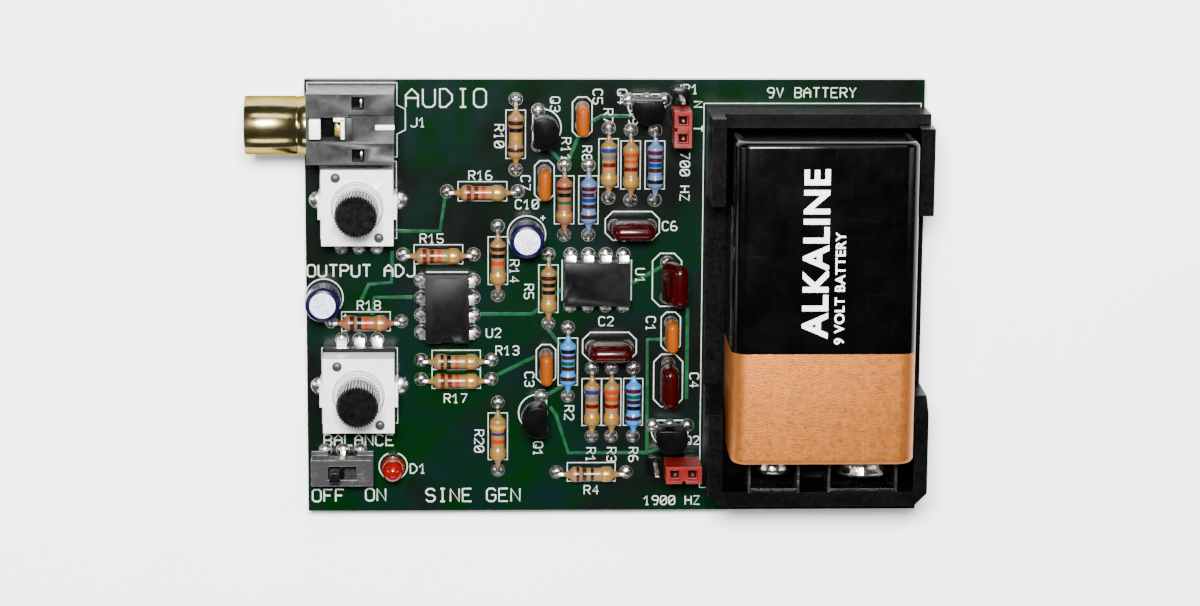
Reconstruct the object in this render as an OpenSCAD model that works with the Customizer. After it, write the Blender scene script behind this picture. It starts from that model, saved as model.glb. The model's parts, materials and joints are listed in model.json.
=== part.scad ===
// Two-tone audio test oscillator on an open circuit board, with a 9 V battery.
// Frame: X right, Y away from the switch edge, Z up, millimetres. The origin is
// under the middle of the whole part, on the surface that its feet stand on.

/* [Circuit board] */
// Length of the board along X
board_l = 88.9; // [88.9:0.1:92]
// Width of the board along Y
board_w = 63.5; // [63.5:0.1:66]
// Thickness of the board
board_t = 1.6; // [1.2:0.1:2]
// Height of the stick-on feet
foot_h = 2.4; // [2.2:0.1:4]
// Diameter of the stick-on feet
foot_d = 5; // [4:0.1:5.4]
// Placement grid that every component sits on
step = 1.27; // [1.27:0.01:1.29]
// Diameter of a component lead
lead_d = 0.6; // [0.5:0.05:0.7]

/* [Resistors] */
// Length of a resistor body
res_l = 6.6; // [6:0.1:6.8]
// Diameter of a resistor body over its end bulges
res_d = 2.3; // [2:0.1:2.5]
// Distance between the two holes of a resistor
res_pitch = 10.16; // [9.8:0.01:10.4]

/* [Capacitors and semiconductors] */
// Diameter of an electrolytic capacitor
can_d = 5; // [4:0.1:5.2]
// Height of an electrolytic capacitor above the board
can_h = 6; // [5:0.1:8]
// Length, thickness and height of a film capacitor body
film_size = [6.4, 2.7, 5.8]; // [2:0.1:6.6]
// Width, thickness and height of a dipped ceramic capacitor
ceramic_size = [4.6, 1.9, 4.4]; // [1.7:0.1:5]
// Body length of an eight-pin chip
chip_l = 9.4; // [9:0.1:9.8]
// Body width of an eight-pin chip
chip_w = 6.3; // [6:0.1:6.5]
// Diameter of the transistor case
case_d = 4.7; // [4.4:0.1:4.9]
// Diameter of the indicator lamp
lamp_d = 3; // [2.8:0.1:3.1]

/* [Controls and connectors] */
// Width of a potentiometer cover along X
pot_w = 10.2; // [10:0.1:10.4]
// Depth of a potentiometer cover along Y
pot_d = 10.9; // [10.6:0.1:11.1]
// Height of the cover's top above the board
pot_h = 6.9; // [6.6:0.1:7.2]
// Diameter of a potentiometer shaft
shaft_d = 6; // [5.8:0.05:6]
// Height of the shaft's end above the board
shaft_h = 14.6; // [13:0.1:16]
// Outside diameter of the phono jack's barrel
barrel_d = 8.3; // [8.2:0.05:8.4]
// Length of the barrel in front of the jack's housing
barrel_l = 8.7; // [8:0.1:9.5]
// Travel of the slide switch
switch_travel = 2; // [1.6:0.1:2]
// Pitch of the pins in the jumper headers
pin_pitch = 2.54; // [2.5:0.01:2.54]

/* [Battery and holder] */
// Width, length and height of the 9 V battery's case
battery_size = [26, 46, 17]; // [16.5:0.1:46.5]
// Outside length of the holder along Y
holder_l = 55.9; // [55.6:0.1:56]
// Outside width of the holder along X
holder_w = 31.4; // [31:0.1:31.4]
// Thickness of the holder's walls
wall_t = 2; // [1.8:0.1:2.1]
// Height of the side and front walls above the board
wall_h = 12.6; // [11:0.1:13.5]
// Height of the wall behind the battery
back_h = 7.6; // [6:0.1:9]

/* [Hidden] */
$fn = 48;

// Placement tables: name, X and Y of the middle in grid steps, then the turn
// in degrees (0: leads along X, 90: leads along Y)
resistors = [
    ["resistor_r1", 32.5, 12.75, 90], ["resistor_r2", 29.75, 17.5, 90],
    ["resistor_r3", 34.75, 12.75, 90], ["resistor_r4", 32.5, 4.5, 0],
    ["resistor_r5", 27.5, 26, 90], ["resistor_r6", 37.25, 12.75, 90],
    ["resistor_r7", 34.25, 40.5, 90], ["resistor_r8", 32, 36.25, 90],
    ["resistor_r9", 36.75, 40.25, 90], ["resistor_r10", 23.75, 43.75, 90],
    ["resistor_r11", 29.25, 36.25, 90], ["resistor_r12", 39.5, 40.25, 90],
    ["resistor_r13", 17, 17.75, 0], ["resistor_r14", 21.75, 29.25, 90],
    ["resistor_r15", 15, 30, 0], ["resistor_r16", 20, 37.25, 0],
    ["resistor_r17", 17, 15.5, 0], ["resistor_r18", 6.75, 22.25, 0],
    ["resistor_r20", 21.75, 8.75, 90]
];
ceramics = [
    ["capacitor_c1", 41.5, 21, 90], ["capacitor_c3", 27.25, 17.25, 90],
    ["capacitor_c5", 31.25, 45.75, 90], ["capacitor_c7", 27, 38.5, 90]
];
// The last value is how far the body leans to its side
films = [
    ["capacitor_c2", 34.5, 19.25, 0, 0], ["capacitor_c4", 41.25, 15.25, 90, 0],
    ["capacitor_c6", 37, 33.25, 0, 0], ["capacitor_c8", 41, 27, 90, 20]
];
cans = [["capacitor_c9", 2, 25, 0], ["capacitor_c10", 25, 32.25, 90]];
// Here the turn is the way that the flat faces: 0 is +X
transistors = [
    ["transistor_q1", 26.25, 11.5, 0], ["transistor_q2", 41.5, 9.5, 90],
    ["transistor_q3", 26.75, 44.5, 180], ["transistor_q4", 38.5, 47.25, 90]
];
chips = [["chip_u1", 33, 27, 0], ["chip_u2", 16, 24, 90]];
lamp_at = [9.75, 5.25];
jack_at = [0.5, 45.5];
output_pot_at = [6, 36.25];
balance_pot_at = [6, 14.75];
switch_at = [4, 5.25];
jp1_at = [42.25, 46.25];
jp2_at = [41.75, 5.75];

lead_r = lead_d / 2;
hole_r = lead_r + 0.2;
gap = 0.02;
tail = 1.2;
top = foot_h + board_t;
barrel_reach = barrel_l - jack_at[0] * step;
dip = 2.54;
span = 7.62;
battery_pole = 6.35;

// Lead positions of each kind of component, about its own middle
res_pins = [[-res_pitch / 2, 0], [res_pitch / 2, 0]];
ceramic_pins = [[-dip / 2, 0], [dip / 2, 0]];
film_pins = [[-dip, 0], [dip, 0]];
can_pins = [[-1, 0], [1, 0]];
case_pins = [[0.6, -dip], [0.6, 0], [0.6, dip]];
chip_pins = [for (x = [-1.5:1.5]) for (side = [-1, 1]) [x * dip, side * span / 2]];
lamp_pins = [[0, -dip / 2], [0, dip / 2]];
jack_pins = [[7.6, -3.8], [7.6, 3.8], [5.4, 0]];
pot_pins = [[-dip, 6.9], [0, 6.9], [dip, 6.9], [-5.6, 0], [5.6, 0]];
switch_pins = [[-dip, 2.5], [0, 2.5], [dip, 2.5]];
header_pins = [[-pin_pitch, 0], [0, 0], [pin_pitch, 0]];
contact_pins = [[-battery_pole, 3.2], [battery_pole, 3.2]];

// Battery and holder, placed from the holder's front left corner
holder_x = board_l - holder_w;
holder_y = 3.7;
holder_mid = holder_x + holder_w / 2;
floor_t = 1.5;
battery_y = holder_y + holder_l - wall_t - 0.35 - battery_size[1];
battery_z = floor_t + 0.35;
pole_z = battery_z + battery_size[2] / 2;

function turned(p, a) = [p[0] * cos(a) - p[1] * sin(a), p[0] * sin(a) + p[1] * cos(a)];
function spot(at, pins, a) = [for (p = pins) at * step + turned(p, a)];
function rows(table, pins) = [for (t = table) each spot([t[1], t[2]], pins, t[3])];

// Joints with room for a fillet on the upper face, and those hidden under a part
open_spots = concat(
    rows(resistors, res_pins), rows(ceramics, ceramic_pins), rows(films, film_pins),
    rows(transistors, case_pins), rows(chips, chip_pins),
    spot(output_pot_at, pot_pins, 180), spot(balance_pot_at, pot_pins, 0),
    spot(switch_at, switch_pins, 0)
);
covered_spots = concat(
    rows(cans, can_pins), spot(lamp_at, lamp_pins, 0), spot(jack_at, jack_pins, 0),
    spot(jp1_at, header_pins, 90), spot(jp2_at, header_pins, 0),
    [for (p = contact_pins) [holder_mid + p[0], holder_y + p[1]]]
);
foot_inset = 3.4;
foot_spots = [
    for (x = [foot_inset, board_l - foot_inset])
        for (y = [foot_inset, board_w - foot_inset]) [x, y]
];

// Moves what is drawn in board coordinates to the part's frame, with Z counted
// from the board's upper face
module on_board() {
    translate([(barrel_reach - board_l) / 2, -board_w / 2, top]) children();
}

module at_step(at, turn = 0) {
    on_board() translate([at[0] * step, at[1] * step, 0]) rotate(turn) children();
}

// ---- Board ----

module circuit_board() {
    color("darkgreen") on_board() difference() {
        translate([0, 0, -board_t]) cube([board_l, board_w, board_t]);
        for (p = concat(open_spots, covered_spots)) translate([p[0], p[1], -board_t - 1])
            cylinder(h = board_t + 2, r = hole_r, $fn = 24);
    }
}

// One solder joint: it fills the hole, with a fillet on one or both faces
module solder_joint(sides) {
    rise = 0.7;
    lower = [
        [lead_r + gap, -board_t - rise], [lead_r + 0.15, -board_t - rise],
        [lead_r + 0.55, -board_t - gap], [hole_r - gap, -board_t - gap]
    ];
    fillet = [[hole_r - gap, gap], [lead_r + 0.55, gap], [lead_r + 0.15, rise], [lead_r + gap, rise]];
    flush = [[hole_r - gap, 0], [lead_r + gap, 0]];
    rotate_extrude($fn = 24) polygon(concat(lower, sides == 2 ? fillet : flush));
}

module solder_joints() {
    color("silver") on_board() {
        for (p = open_spots) translate(p) solder_joint(2);
        for (p = covered_spots) translate(p) solder_joint(1);
    }
}

module rubber_feet() {
    color("dimgray") on_board() for (p = foot_spots) translate([p[0], p[1], -top]) {
        cylinder(h = foot_h * 0.6, d1 = foot_d * 0.8, d2 = foot_d);
        translate([0, 0, foot_h * 0.6]) cylinder(h = foot_h * 0.4, d = foot_d);
    }
}

// ---- Small components ----

// A straight lead that stands in its hole and reaches up to height h
module lead(h) {
    translate([0, 0, -board_t - tail]) cylinder(h = board_t + tail + h, r = lead_r, $fn = 20);
}

// The lead at one end of a resistor: it leaves along X and bends down
module bent_lead(reach, h) {
    bend = 0.8;
    translate([reach - bend, 0, h - bend]) rotate([90, 0, 0])
        rotate_extrude(angle = 90, $fn = 32) translate([bend, 0]) circle(r = lead_r, $fn = 20);
    translate([1, 0, h]) rotate([0, 90, 0]) cylinder(h = reach - bend - 1, r = lead_r, $fn = 20);
    translate([reach, 0, 0]) lead(h - bend);
}

module resistor(r) {
    h = res_d / 2 + 0.35;
    bulge = 1.7;
    waist = res_d * 0.43;
    color("tan") at_step([r[1], r[2]], r[3]) {
        translate([-res_l / 2, 0, h]) rotate([0, 90, 0]) rotate_extrude() polygon([
            [0, 0], [res_d * 0.3, 0], [res_d * 0.46, 0.3], [res_d / 2, 0.8],
            [res_d / 2, bulge - 0.3], [waist, bulge + 0.3],
            [waist, res_l - bulge - 0.3], [res_d / 2, res_l - bulge + 0.3],
            [res_d / 2, res_l - 0.8], [res_d * 0.46, res_l - 0.3], [res_d * 0.3, res_l], [0, res_l]
        ]);
        for (side = [0, 180]) rotate(side) bent_lead(res_pitch / 2, h);
    }
}

module ceramic_capacitor(c) {
    s = ceramic_size;
    r = s[1] / 2;
    color("orange") at_step([c[1], c[2]], c[3]) {
        translate([0, 0, 1.4 + s[2] / 2]) hull()
            for (x = [-1, 1]) for (z = [-1, 1])
                translate([x * (s[0] / 2 - r), 0, z * (s[2] / 2 - r)]) sphere(r = r, $fn = 24);
        for (p = ceramic_pins) translate(p) lead(2.4);
    }
}

module film_capacitor(c) {
    s = film_size;
    r = s[1] / 2;
    base = 1;
    color("darkred") at_step([c[1], c[2]], c[3]) {
        translate([0, 0, base]) rotate([c[4], 0, 0]) translate([0, 0, s[2] / 2]) hull()
            for (x = [-1, 1]) for (z = [-1, 1])
                translate([x * (s[0] / 2 - r), 0, z * (s[2] / 2 - r)]) sphere(r = r, $fn = 24);
        for (p = film_pins) translate(p) lead(base + 0.5);
    }
}

module electrolytic(c) {
    r = can_d / 2;
    color("midnightblue") at_step([c[1], c[2]], c[3]) {
        translate([0, 0, 0.3]) rotate_extrude() polygon([
            [0, 0], [r - 0.3, 0], [r, 0.3], [r, 0.9], [r - 0.25, 1.15], [r, 1.4],
            [r, can_h - 0.6], [r - 0.3, can_h - 0.3], [r - 0.75, can_h - 0.3],
            [r - 0.85, can_h - 0.45], [0, can_h - 0.45]
        ]);
        for (p = can_pins) translate(p) lead(0.5);
    }
}

module transistor(q) {
    r = case_d / 2;
    lift = 2;
    bend = 0.95;
    flat = 1.35;
    color("dimgray") at_step([q[1], q[2]], q[3]) {
        translate([0, 0, lift]) intersection() {
            cylinder(h = 4.7, r = r);
            translate([-r - 1, -r - 1, -1]) cube([r + 1 + flat, 2 * r + 2, 7]);
        }
        translate([case_pins[1][0], 0, 0]) lead(lift + 0.4);
        for (side = [-1, 1]) {
            translate(case_pins[1 + side]) lead(bend);
            translate([case_pins[1][0], side * dip, bend]) rotate([side * 42, 0, 0])
                translate([0, 0, -0.05]) cylinder(h = 1.9, r = lead_r * 0.98, $fn = 20);
        }
    }
}

module chip(u) {
    body_h = 3.3;
    stand = 0.5;
    color("dimgray") at_step([u[1], u[2]], u[3]) {
        difference() {
            translate([-chip_l / 2, -chip_w / 2, stand]) cube([chip_l, chip_w, body_h]);
            // Notch and dimple that mark pin 1
            translate([-chip_l / 2, 0, stand + body_h - 0.5]) cylinder(h = 1, r = 0.9);
            translate([-3.5, -1.45, stand + body_h - 0.15]) cylinder(h = 1, r = 0.8);
        }
        for (x = [-1.5:1.5]) for (side = [-1, 1]) translate([x * dip, side * span / 2, 0]) {
            translate([-lead_r * 0.7, -lead_r * 0.6, -board_t - tail])
                cube([lead_r * 1.4, lead_r * 1.2, board_t + tail + 1]);
            translate([-0.7, -0.15, 0.9]) cube([1.4, 0.3, 1.3]);
            translate([-0.7, side > 0 ? -0.9 : -0.15, 2]) cube([1.4, 1.05, 0.3]);
        }
    }
}

module indicator_led() {
    r = lamp_d / 2;
    flange = 1;
    dome = 4.4 - r;
    color("red") at_step(lamp_at) {
        translate([0, 0, 0.3]) rotate_extrude() polygon(concat(
            [[0, 0], [r + 0.4, 0], [r + 0.4, flange], [r, flange]],
            [for (a = [0:15:90]) [r * cos(a), dome + r * sin(a)]]
        ));
        for (p = lamp_pins) translate(p) lead(0.5);
    }
}

// ---- Phono jack ----

jack_l = 12.3;
jack_w = 10;
jack_h = 10.4;
axis_z = 6;
barrel_wall = 0.45;
nose_r = barrel_d / 2 - barrel_wall - gap;
socket_r = 1.65;
socket_wall = 0.45;
seat = [6.1, 3.4];

// Everything of the jack hangs from the middle of its front face
module at_jack() {
    at_step(jack_at) children();
}

module along_barrel(from) {
    translate([from, 0, axis_z]) rotate([0, 90, 0]) children();
}

module jack_housing() {
    nose_l = barrel_l - 1.2;
    color("dimgray") at_jack() difference() {
        union() {
            translate([0, -jack_w / 2, 0.3]) cube([jack_l, jack_w, jack_h - 0.3]);
            along_barrel(-nose_l) cylinder(h = nose_l + 0.1, r = nose_r);
        }
        along_barrel(-nose_l - 1)
            cylinder(h = nose_l + seat[0] + 1.4, r = socket_r + socket_wall + gap);
        translate([jack_pins[2][0], 0, -1]) cylinder(h = 7, r = lead_r + 0.1);
        // Slots over the two side contacts
        for (side = [-1, 1]) translate([6.4, side * 3.7 - 0.9, jack_h - 3]) cube([1.8, 1.8, 4]);
        // Sunk channel behind the insert, and the seat of the insert
        translate([seat[0] - 0.2, -2.1, jack_h - 0.7]) cube([jack_l, 4.2, 1]);
        translate([0.4, -seat[1] / 2, 4.6]) cube([seat[0], seat[1], jack_h]);
    }
    color("silver") at_jack() for (p = jack_pins) if (p[1] != 0) translate([p[0], p[1], 0]) {
        lead(0.2);
        translate([-0.7, -0.2, 0.2]) cube([1.4, 0.4, 0.1]);
    }
}

module jack_barrel() {
    color("gold") at_jack() along_barrel(-barrel_l) rotate_extrude() polygon([
        [nose_r + gap, 0.25], [nose_r + gap + 0.2, 0], [barrel_d / 2 - 0.2, 0],
        [barrel_d / 2, 0.25], [barrel_d / 2, barrel_l - gap], [nose_r + gap, barrel_l - gap]
    ]);
}

module jack_insert() {
    depth = seat[1] - 0.1;
    color("ivory") at_jack() difference() {
        translate([0.45, -depth / 2, 8.3]) cube([seat[0] - 0.1, depth, jack_h - 8.3]);
        translate([2.2, -1.1, 8]) cube([3.2, 2.2, 4]);
    }
}

module jack_centre_contact() {
    front = -barrel_l + 1.6;
    color("goldenrod") at_jack() {
        along_barrel(front) difference() {
            cylinder(h = seat[0] - front, r = socket_r + socket_wall);
            translate([0, 0, -1]) cylinder(h = seat[0] - front, r = socket_r);
        }
        // Spring leaf that rises into the insert, and the solder pin
        translate([4.1, -0.8, axis_z + socket_r]) cube([0.35, 1.6, 2.6]);
        translate([jack_pins[2][0], 0, 0]) lead(axis_z - socket_r - 0.1);
    }
}

// ---- Potentiometers ----

cover_t = 0.4;
cover_z = 2.4;
bushing_d = 7.1;
bushing_h = 1.3;
neck_d = shaft_d - 0.8;
flange_z = 4.6;
rivet_at = [-3.05, 4.3];
rivet_r = 0.7;

module pot_base() {
    inner = [pot_w - 2 * cover_t - 0.1, pot_d - 2 * cover_t - 0.1];
    post_z = pot_h + 0.25;
    color("dimgray") {
        difference() {
            union() {
                translate([-pot_w / 2 - 0.1, -pot_d / 2, 0.3])
                    cube([pot_w + 0.2, pot_d + 0.55, cover_z - 0.35]);
                translate([-inner[0] / 2, -inner[1] / 2, 1]) cube([inner[0], inner[1], flange_z - 1.4]);
            }
            for (side = [-1, 1]) translate([side * (pot_w / 2 + 0.1) - 0.65, -1.9, -1])
                cube([1.3, 3.8, 6]);
        }
        for (turn = [0, 180]) rotate(turn) translate(rivet_at) {
            translate([0, 0, flange_z - 1]) cylinder(h = post_z - flange_z + 1, r = rivet_r - 0.05);
        }
    }
    color("silver") for (x = [-dip, 0, dip]) translate([x, 0, 0]) {
        translate([0, pot_pins[0][1], 0]) lead(1);
        translate([-0.7, pot_d / 2 + 0.5, 0.85]) cube([1.4, pot_pins[0][1] - pot_d / 2 - 0.2, 0.35]);
    }
}

module pot_cover() {
    color("whitesmoke") difference() {
        union() {
            translate([-pot_w / 2, -pot_d / 2, cover_z]) cube([pot_w, pot_d, pot_h - cover_z]);
            translate([0, 0, pot_h - 0.1]) cylinder(h = bushing_h + 0.1, d = bushing_d);
            // Side legs, soldered into the board
            for (side = [-1, 1]) translate([side * (pot_w / 2 + 0.25), 0, 0]) {
                translate([-0.25, -1.8, 0.8]) cube([0.5, 3.6, pot_h - 1.6]);
            }
        }
        translate([-pot_w / 2 + cover_t, -pot_d / 2 + cover_t, cover_z - 1])
            cube([pot_w - 2 * cover_t, pot_d - 2 * cover_t, pot_h - cover_t - cover_z + 1]);
        translate([0, 0, pot_h - 2]) cylinder(h = 5, d = neck_d + 0.3);
        for (turn = [0, 180]) rotate(turn) translate([rivet_at[0], rivet_at[1], pot_h - 2])
            cylinder(h = 3, r = rivet_r);
    }
    color("whitesmoke") for (side = [-1, 1]) translate([side * pot_pins[4][0], 0, 0]) {
        translate([0, 0, -board_t - tail]) cylinder(h = board_t + tail + 1.2, r = lead_r, $fn = 20);
    }
}

// The shaft has a flange under the cover and a slimmer neck inside the bushing
module pot_shaft() {
    notch = 1.3;
    neck_top = pot_h + bushing_h + 0.1;
    chamfer = 0.3;
    color("black") difference() {
        union() {
            translate([0, 0, flange_z]) cylinder(h = 1.2, d = shaft_d + 1.4);
            translate([0, 0, flange_z]) cylinder(h = neck_top - flange_z, d = neck_d);
            translate([0, 0, neck_top]) cylinder(h = shaft_h - chamfer - neck_top, d = shaft_d);
            translate([0, 0, shaft_h - chamfer])
                cylinder(h = chamfer, d1 = shaft_d, d2 = shaft_d - 2 * chamfer);
        }
        rotate(-40) translate([shaft_d / 2 - 0.9, -notch / 4, shaft_h - 0.8]) cube([1, notch / 2, 1]);
    }
}

module at_output_pot() {
    at_step(output_pot_at, 180) children();
}

module at_balance_pot() {
    at_step(balance_pot_at) children();
}

module output_pot_base() {
    at_output_pot() pot_base();
}

module output_pot_cover() {
    at_output_pot() pot_cover();
}

module output_pot_shaft() {
    at_output_pot() rotate(180) pot_shaft();
}

module balance_pot_base() {
    at_balance_pot() pot_base();
}

module balance_pot_cover() {
    at_balance_pot() pot_cover();
}

module balance_pot_shaft() {
    at_balance_pot() pot_shaft();
}

// ---- Slide switch ----

switch_l = 9;
switch_w = 3.9;
switch_h = 4.1;
frame_t = 0.3;
knob_l = 1.5;
window = [switch_travel + knob_l + 0.5, 1.9];

module switch_base() {
    inner_l = switch_l - 2 * frame_t - 0.1;
    inner_w = switch_w - 2 * frame_t - 0.1;
    color("dimgray") at_step(switch_at) difference() {
        translate([-inner_l / 2, -inner_w / 2, 0.3]) cube([inner_l, inner_w, 1.6]);
        translate([-window[0] / 2 - 0.8, -window[1] / 2, 1.2]) cube([window[0] + 1.6, window[1], 2]);
    }
    color("silver") at_step(switch_at) for (p = switch_pins) translate([p[0], 0, 0]) {
        translate([0, p[1], 0]) lead(0.9);
        translate([-0.35, inner_w / 2 - 0.1, 0.8]) cube([0.7, p[1] - inner_w / 2 + 0.2, 0.3]);
    }
}

module switch_frame() {
    tab = 2.4;
    pin_room = 1.3;
    color("gray") at_step(switch_at) difference() {
        union() {
            translate([-switch_l / 2, -switch_w / 2, 0.3]) cube([switch_l, switch_w, switch_h - 0.3]);
            for (side = [-1, 1])
                translate([side * (switch_l - tab) / 2 - tab / 2, switch_w / 2 - 0.1, pin_room + 0.1])
                    cube([tab, 0.9, frame_t]);
        }
        translate([-switch_l / 2 + frame_t, -switch_w / 2 + frame_t, -1])
            cube([switch_l - 2 * frame_t, switch_w - 2 * frame_t, switch_h - frame_t + 1]);
        translate([-window[0] / 2, -window[1] / 2, 0]) cube([window[0], window[1], 9]);
        // The pins leave under the rear wall
        translate([-dip - 1, 0, -1]) cube([2 * dip + 2, switch_w, pin_room + 1]);
    }
}

module switch_slider() {
    depth = window[1] - 0.3;
    rest_x = -window[0] / 2 + 0.25;
    color("black") at_step(switch_at) translate([rest_x, 0, 0]) {
        translate([0, -depth / 2, 1.3]) cube([knob_l, depth, 5.8]);
        translate([-0.5, -window[1] / 2 + 0.05, 2.1]) cube([knob_l + 1, window[1] - 0.1, 1.2]);
    }
}

// ---- Jumper headers and shunts ----

module header(at, turn) {
    pin_h = 8.4;
    color("dimgray") at_step(at, turn)
        translate([-1.5 * pin_pitch, -1.25, 0]) difference() {
            cube([3 * pin_pitch, 2.5, 2.4]);
            for (i = [0.5:2.5]) translate([i * pin_pitch, 1.25, -1])
                cylinder(h = 5, r = hole_r, $fn = 24);
        }
    color("silver") at_step(at, turn) for (p = header_pins) translate(p) {
        lead(pin_h - 0.4);
        translate([0, 0, pin_h - 0.4]) cylinder(h = 0.4, r1 = lead_r, r2 = lead_r * 0.5, $fn = 20);
    }
}

// A shunt covers the header's second and third pins
module shunt(at, turn) {
    s = [2 * pin_pitch + 0.1, 2.5, 6.2];
    foot = 2.5;
    color("red") at_step(at, turn) translate([pin_pitch / 2, 0, foot]) difference() {
        translate([-s[0] / 2, -s[1] / 2, 0]) cube(s);
        for (x = [-0.5, 0.5]) translate([x * pin_pitch, 0, 0]) {
            translate([-0.55, -0.55, -1]) cube([1.1, 1.1, s[2] + 2]);
            translate([-0.7, -0.75, s[2] - 0.9]) cube([1.4, 1.5, 2]);
        }
        translate([-0.25, -s[1] / 2 - 1, -1]) cube([0.5, 1.4, s[2] + 2]);
    }
}

module header_jp1() {
    header(jp1_at, 270);
}

module header_jp2() {
    header(jp2_at, 0);
}

module shunt_jp1() {
    shunt(jp1_at, 270);
}

module shunt_jp2() {
    shunt(jp2_at, 0);
}

// ---- Battery holder ----

module at_holder() {
    on_board() translate([holder_x, holder_y, 0]) children();
}

// Seen from its side, a lower side wall is a post with a slanted rear corner
module lower_side_wall() {
    len = 15.6;
    rotate([90, 0, 90]) linear_extrude(wall_t) polygon([
        [0, 0], [len, 0], [len, wall_h - 2.6], [len - 2.2, wall_h], [0, wall_h]
    ]);
}

module upper_side_wall(inset) {
    len = 12.4;
    translate([0, holder_l - len - inset, 0]) cube([wall_t, len, wall_h]);
}

module battery_holder() {
    chamfer = 2.6;
    rib = [4.2, 6.6, 3.9];
    color("dimgray") at_holder() difference() {
        union() {
            cube([holder_w, holder_l, floor_t]);
            cube([holder_w, wall_t + 0.1, wall_h]);
            translate([0, holder_l - wall_t, 0]) cube([holder_w, wall_t, back_h]);
            for (x = [0, holder_w - wall_t]) translate([x, 0, 0]) {
                lower_side_wall();
                upper_side_wall(x > 0 ? 1.4 : 0);
                translate([0, holder_l - 8, 0]) cube([wall_t, 8, back_h]);
            }
            translate([(holder_w - rib[0]) / 2, 0, 0]) cube(rib);
        }
        for (x = [0, holder_w]) translate([x, 0, -1]) rotate(45)
            cube([chamfer, chamfer, 2 * (wall_h + 5)], center = true);
        // Passages for the two contact tails
        for (p = contact_pins) translate([holder_w / 2 + p[0], p[1], -1])
            cylinder(h = 5, r = hole_r);
    }
}

// Two sprung forks, open upwards, that grip the battery's terminals
module holder_contacts() {
    strip = 0.4;
    back = wall_t + 0.15;
    plate_z = 4.2;
    fork = [strip, 4.4, 5.2];
    color("silver") at_holder() for (side = [0, 1]) {
        grip = side == 0 ? 3.3 : 4.6;
        p = contact_pins[side];
        translate([holder_w / 2 + p[0], 0, 0]) {
            translate([-grip - strip, back, plate_z])
                cube([2 * (grip + strip), strip, pole_z + 2 - plate_z]);
            for (x = [-grip - strip, grip]) translate([x, back, pole_z - fork[2] / 2]) cube(fork);
            // Strip down to the floor, foot and solder tail
            translate([-1, back, floor_t + gap]) cube([2, strip, plate_z - floor_t]);
            translate([-1, back, floor_t + gap]) cube([2, p[1] - back + 0.6, strip]);
            translate([0, p[1], 0]) lead(floor_t + 0.3);
        }
    }
}

// ---- Battery ----

module at_battery() {
    on_board() translate([holder_mid, battery_y, battery_z]) children();
}

module battery_case() {
    r = 2.4;
    edge = 0.4;
    s = battery_size;
    color("black") at_battery() {
        rotate([90, 0, 180]) translate([0, 0, edge])
            linear_extrude(s[1] - 2 * edge) rounded(s[0], s[2], r);
        rotate([90, 0, 180]) linear_extrude(s[1]) translate([0, edge])
            rounded(s[0] - 2 * edge, s[2] - 2 * edge, r - edge);
    }
}

// An outline with its lower edge on the X axis and four round corners
module rounded(w, h, r) {
    union() {
        translate([-w / 2 + r, 0]) square([w - 2 * r, h]);
        translate([-w / 2, r]) square([w, h - 2 * r]);
        for (x = [-1, 1]) for (y = [r, h - r]) translate([x * (w / 2 - r), y]) circle(r = r);
    }
}

module battery_terminals() {
    color("silver") at_battery() translate([0, 0, pole_z - battery_z]) rotate([90, 0, 0]) {
        // The small stud, then the wide socket
        translate([-battery_pole, 0, 0.02]) {
            cylinder(h = 0.4, r = 3);
            cylinder(h = 2.9, r = 2.85);
        }
        translate([battery_pole, 0, 0.02]) difference() {
            cylinder(h = 2.9, r = 4.1);
            translate([0, 0, 0.6]) cylinder(h = 4, r = 2.9);
        }
    }
}

circuit_board();
solder_joints();
rubber_feet();
for (r = resistors) resistor(r);
for (c = ceramics) ceramic_capacitor(c);
for (c = films) film_capacitor(c);
for (c = cans) electrolytic(c);
for (q = transistors) transistor(q);
for (u = chips) chip(u);
indicator_led();
jack_housing();
jack_barrel();
jack_insert();
jack_centre_contact();
output_pot_base();
output_pot_cover();
output_pot_shaft();
balance_pot_base();
balance_pot_cover();
balance_pot_shaft();
switch_base();
switch_frame();
switch_slider();
header_jp1();
header_jp2();
shunt_jp1();
shunt_jp2();
battery_holder();
holder_contacts();
battery_case();
battery_terminals();
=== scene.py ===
# Audio function generator board: the finished looks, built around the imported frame.
import json
import math
import random

import bmesh
import bpy
from mathutils import Matrix, Vector

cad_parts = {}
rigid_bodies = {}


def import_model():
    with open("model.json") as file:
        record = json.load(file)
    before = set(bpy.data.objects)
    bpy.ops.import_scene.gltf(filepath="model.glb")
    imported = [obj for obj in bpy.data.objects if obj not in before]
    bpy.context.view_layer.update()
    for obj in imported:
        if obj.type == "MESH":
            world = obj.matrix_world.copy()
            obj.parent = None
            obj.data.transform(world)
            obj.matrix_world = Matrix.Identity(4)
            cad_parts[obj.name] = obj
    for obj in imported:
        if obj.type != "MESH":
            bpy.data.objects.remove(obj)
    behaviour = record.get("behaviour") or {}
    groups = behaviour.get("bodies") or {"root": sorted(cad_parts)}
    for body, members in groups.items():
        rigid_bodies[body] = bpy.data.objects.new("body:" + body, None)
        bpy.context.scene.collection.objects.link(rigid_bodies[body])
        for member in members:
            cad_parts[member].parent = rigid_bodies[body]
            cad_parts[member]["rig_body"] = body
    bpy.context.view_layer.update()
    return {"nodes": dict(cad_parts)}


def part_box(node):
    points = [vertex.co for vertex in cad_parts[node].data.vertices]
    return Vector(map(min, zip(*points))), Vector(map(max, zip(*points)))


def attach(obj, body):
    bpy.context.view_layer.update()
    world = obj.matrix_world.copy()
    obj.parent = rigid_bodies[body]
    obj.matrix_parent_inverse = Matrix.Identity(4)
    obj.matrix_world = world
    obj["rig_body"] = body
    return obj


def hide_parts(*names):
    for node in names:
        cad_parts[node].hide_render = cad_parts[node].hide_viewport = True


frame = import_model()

mm = 0.001
boardLow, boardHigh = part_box("circuit_board")
boardTop = boardHigh.z
boardThick = (boardHigh.z - boardLow.z) / mm
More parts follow.
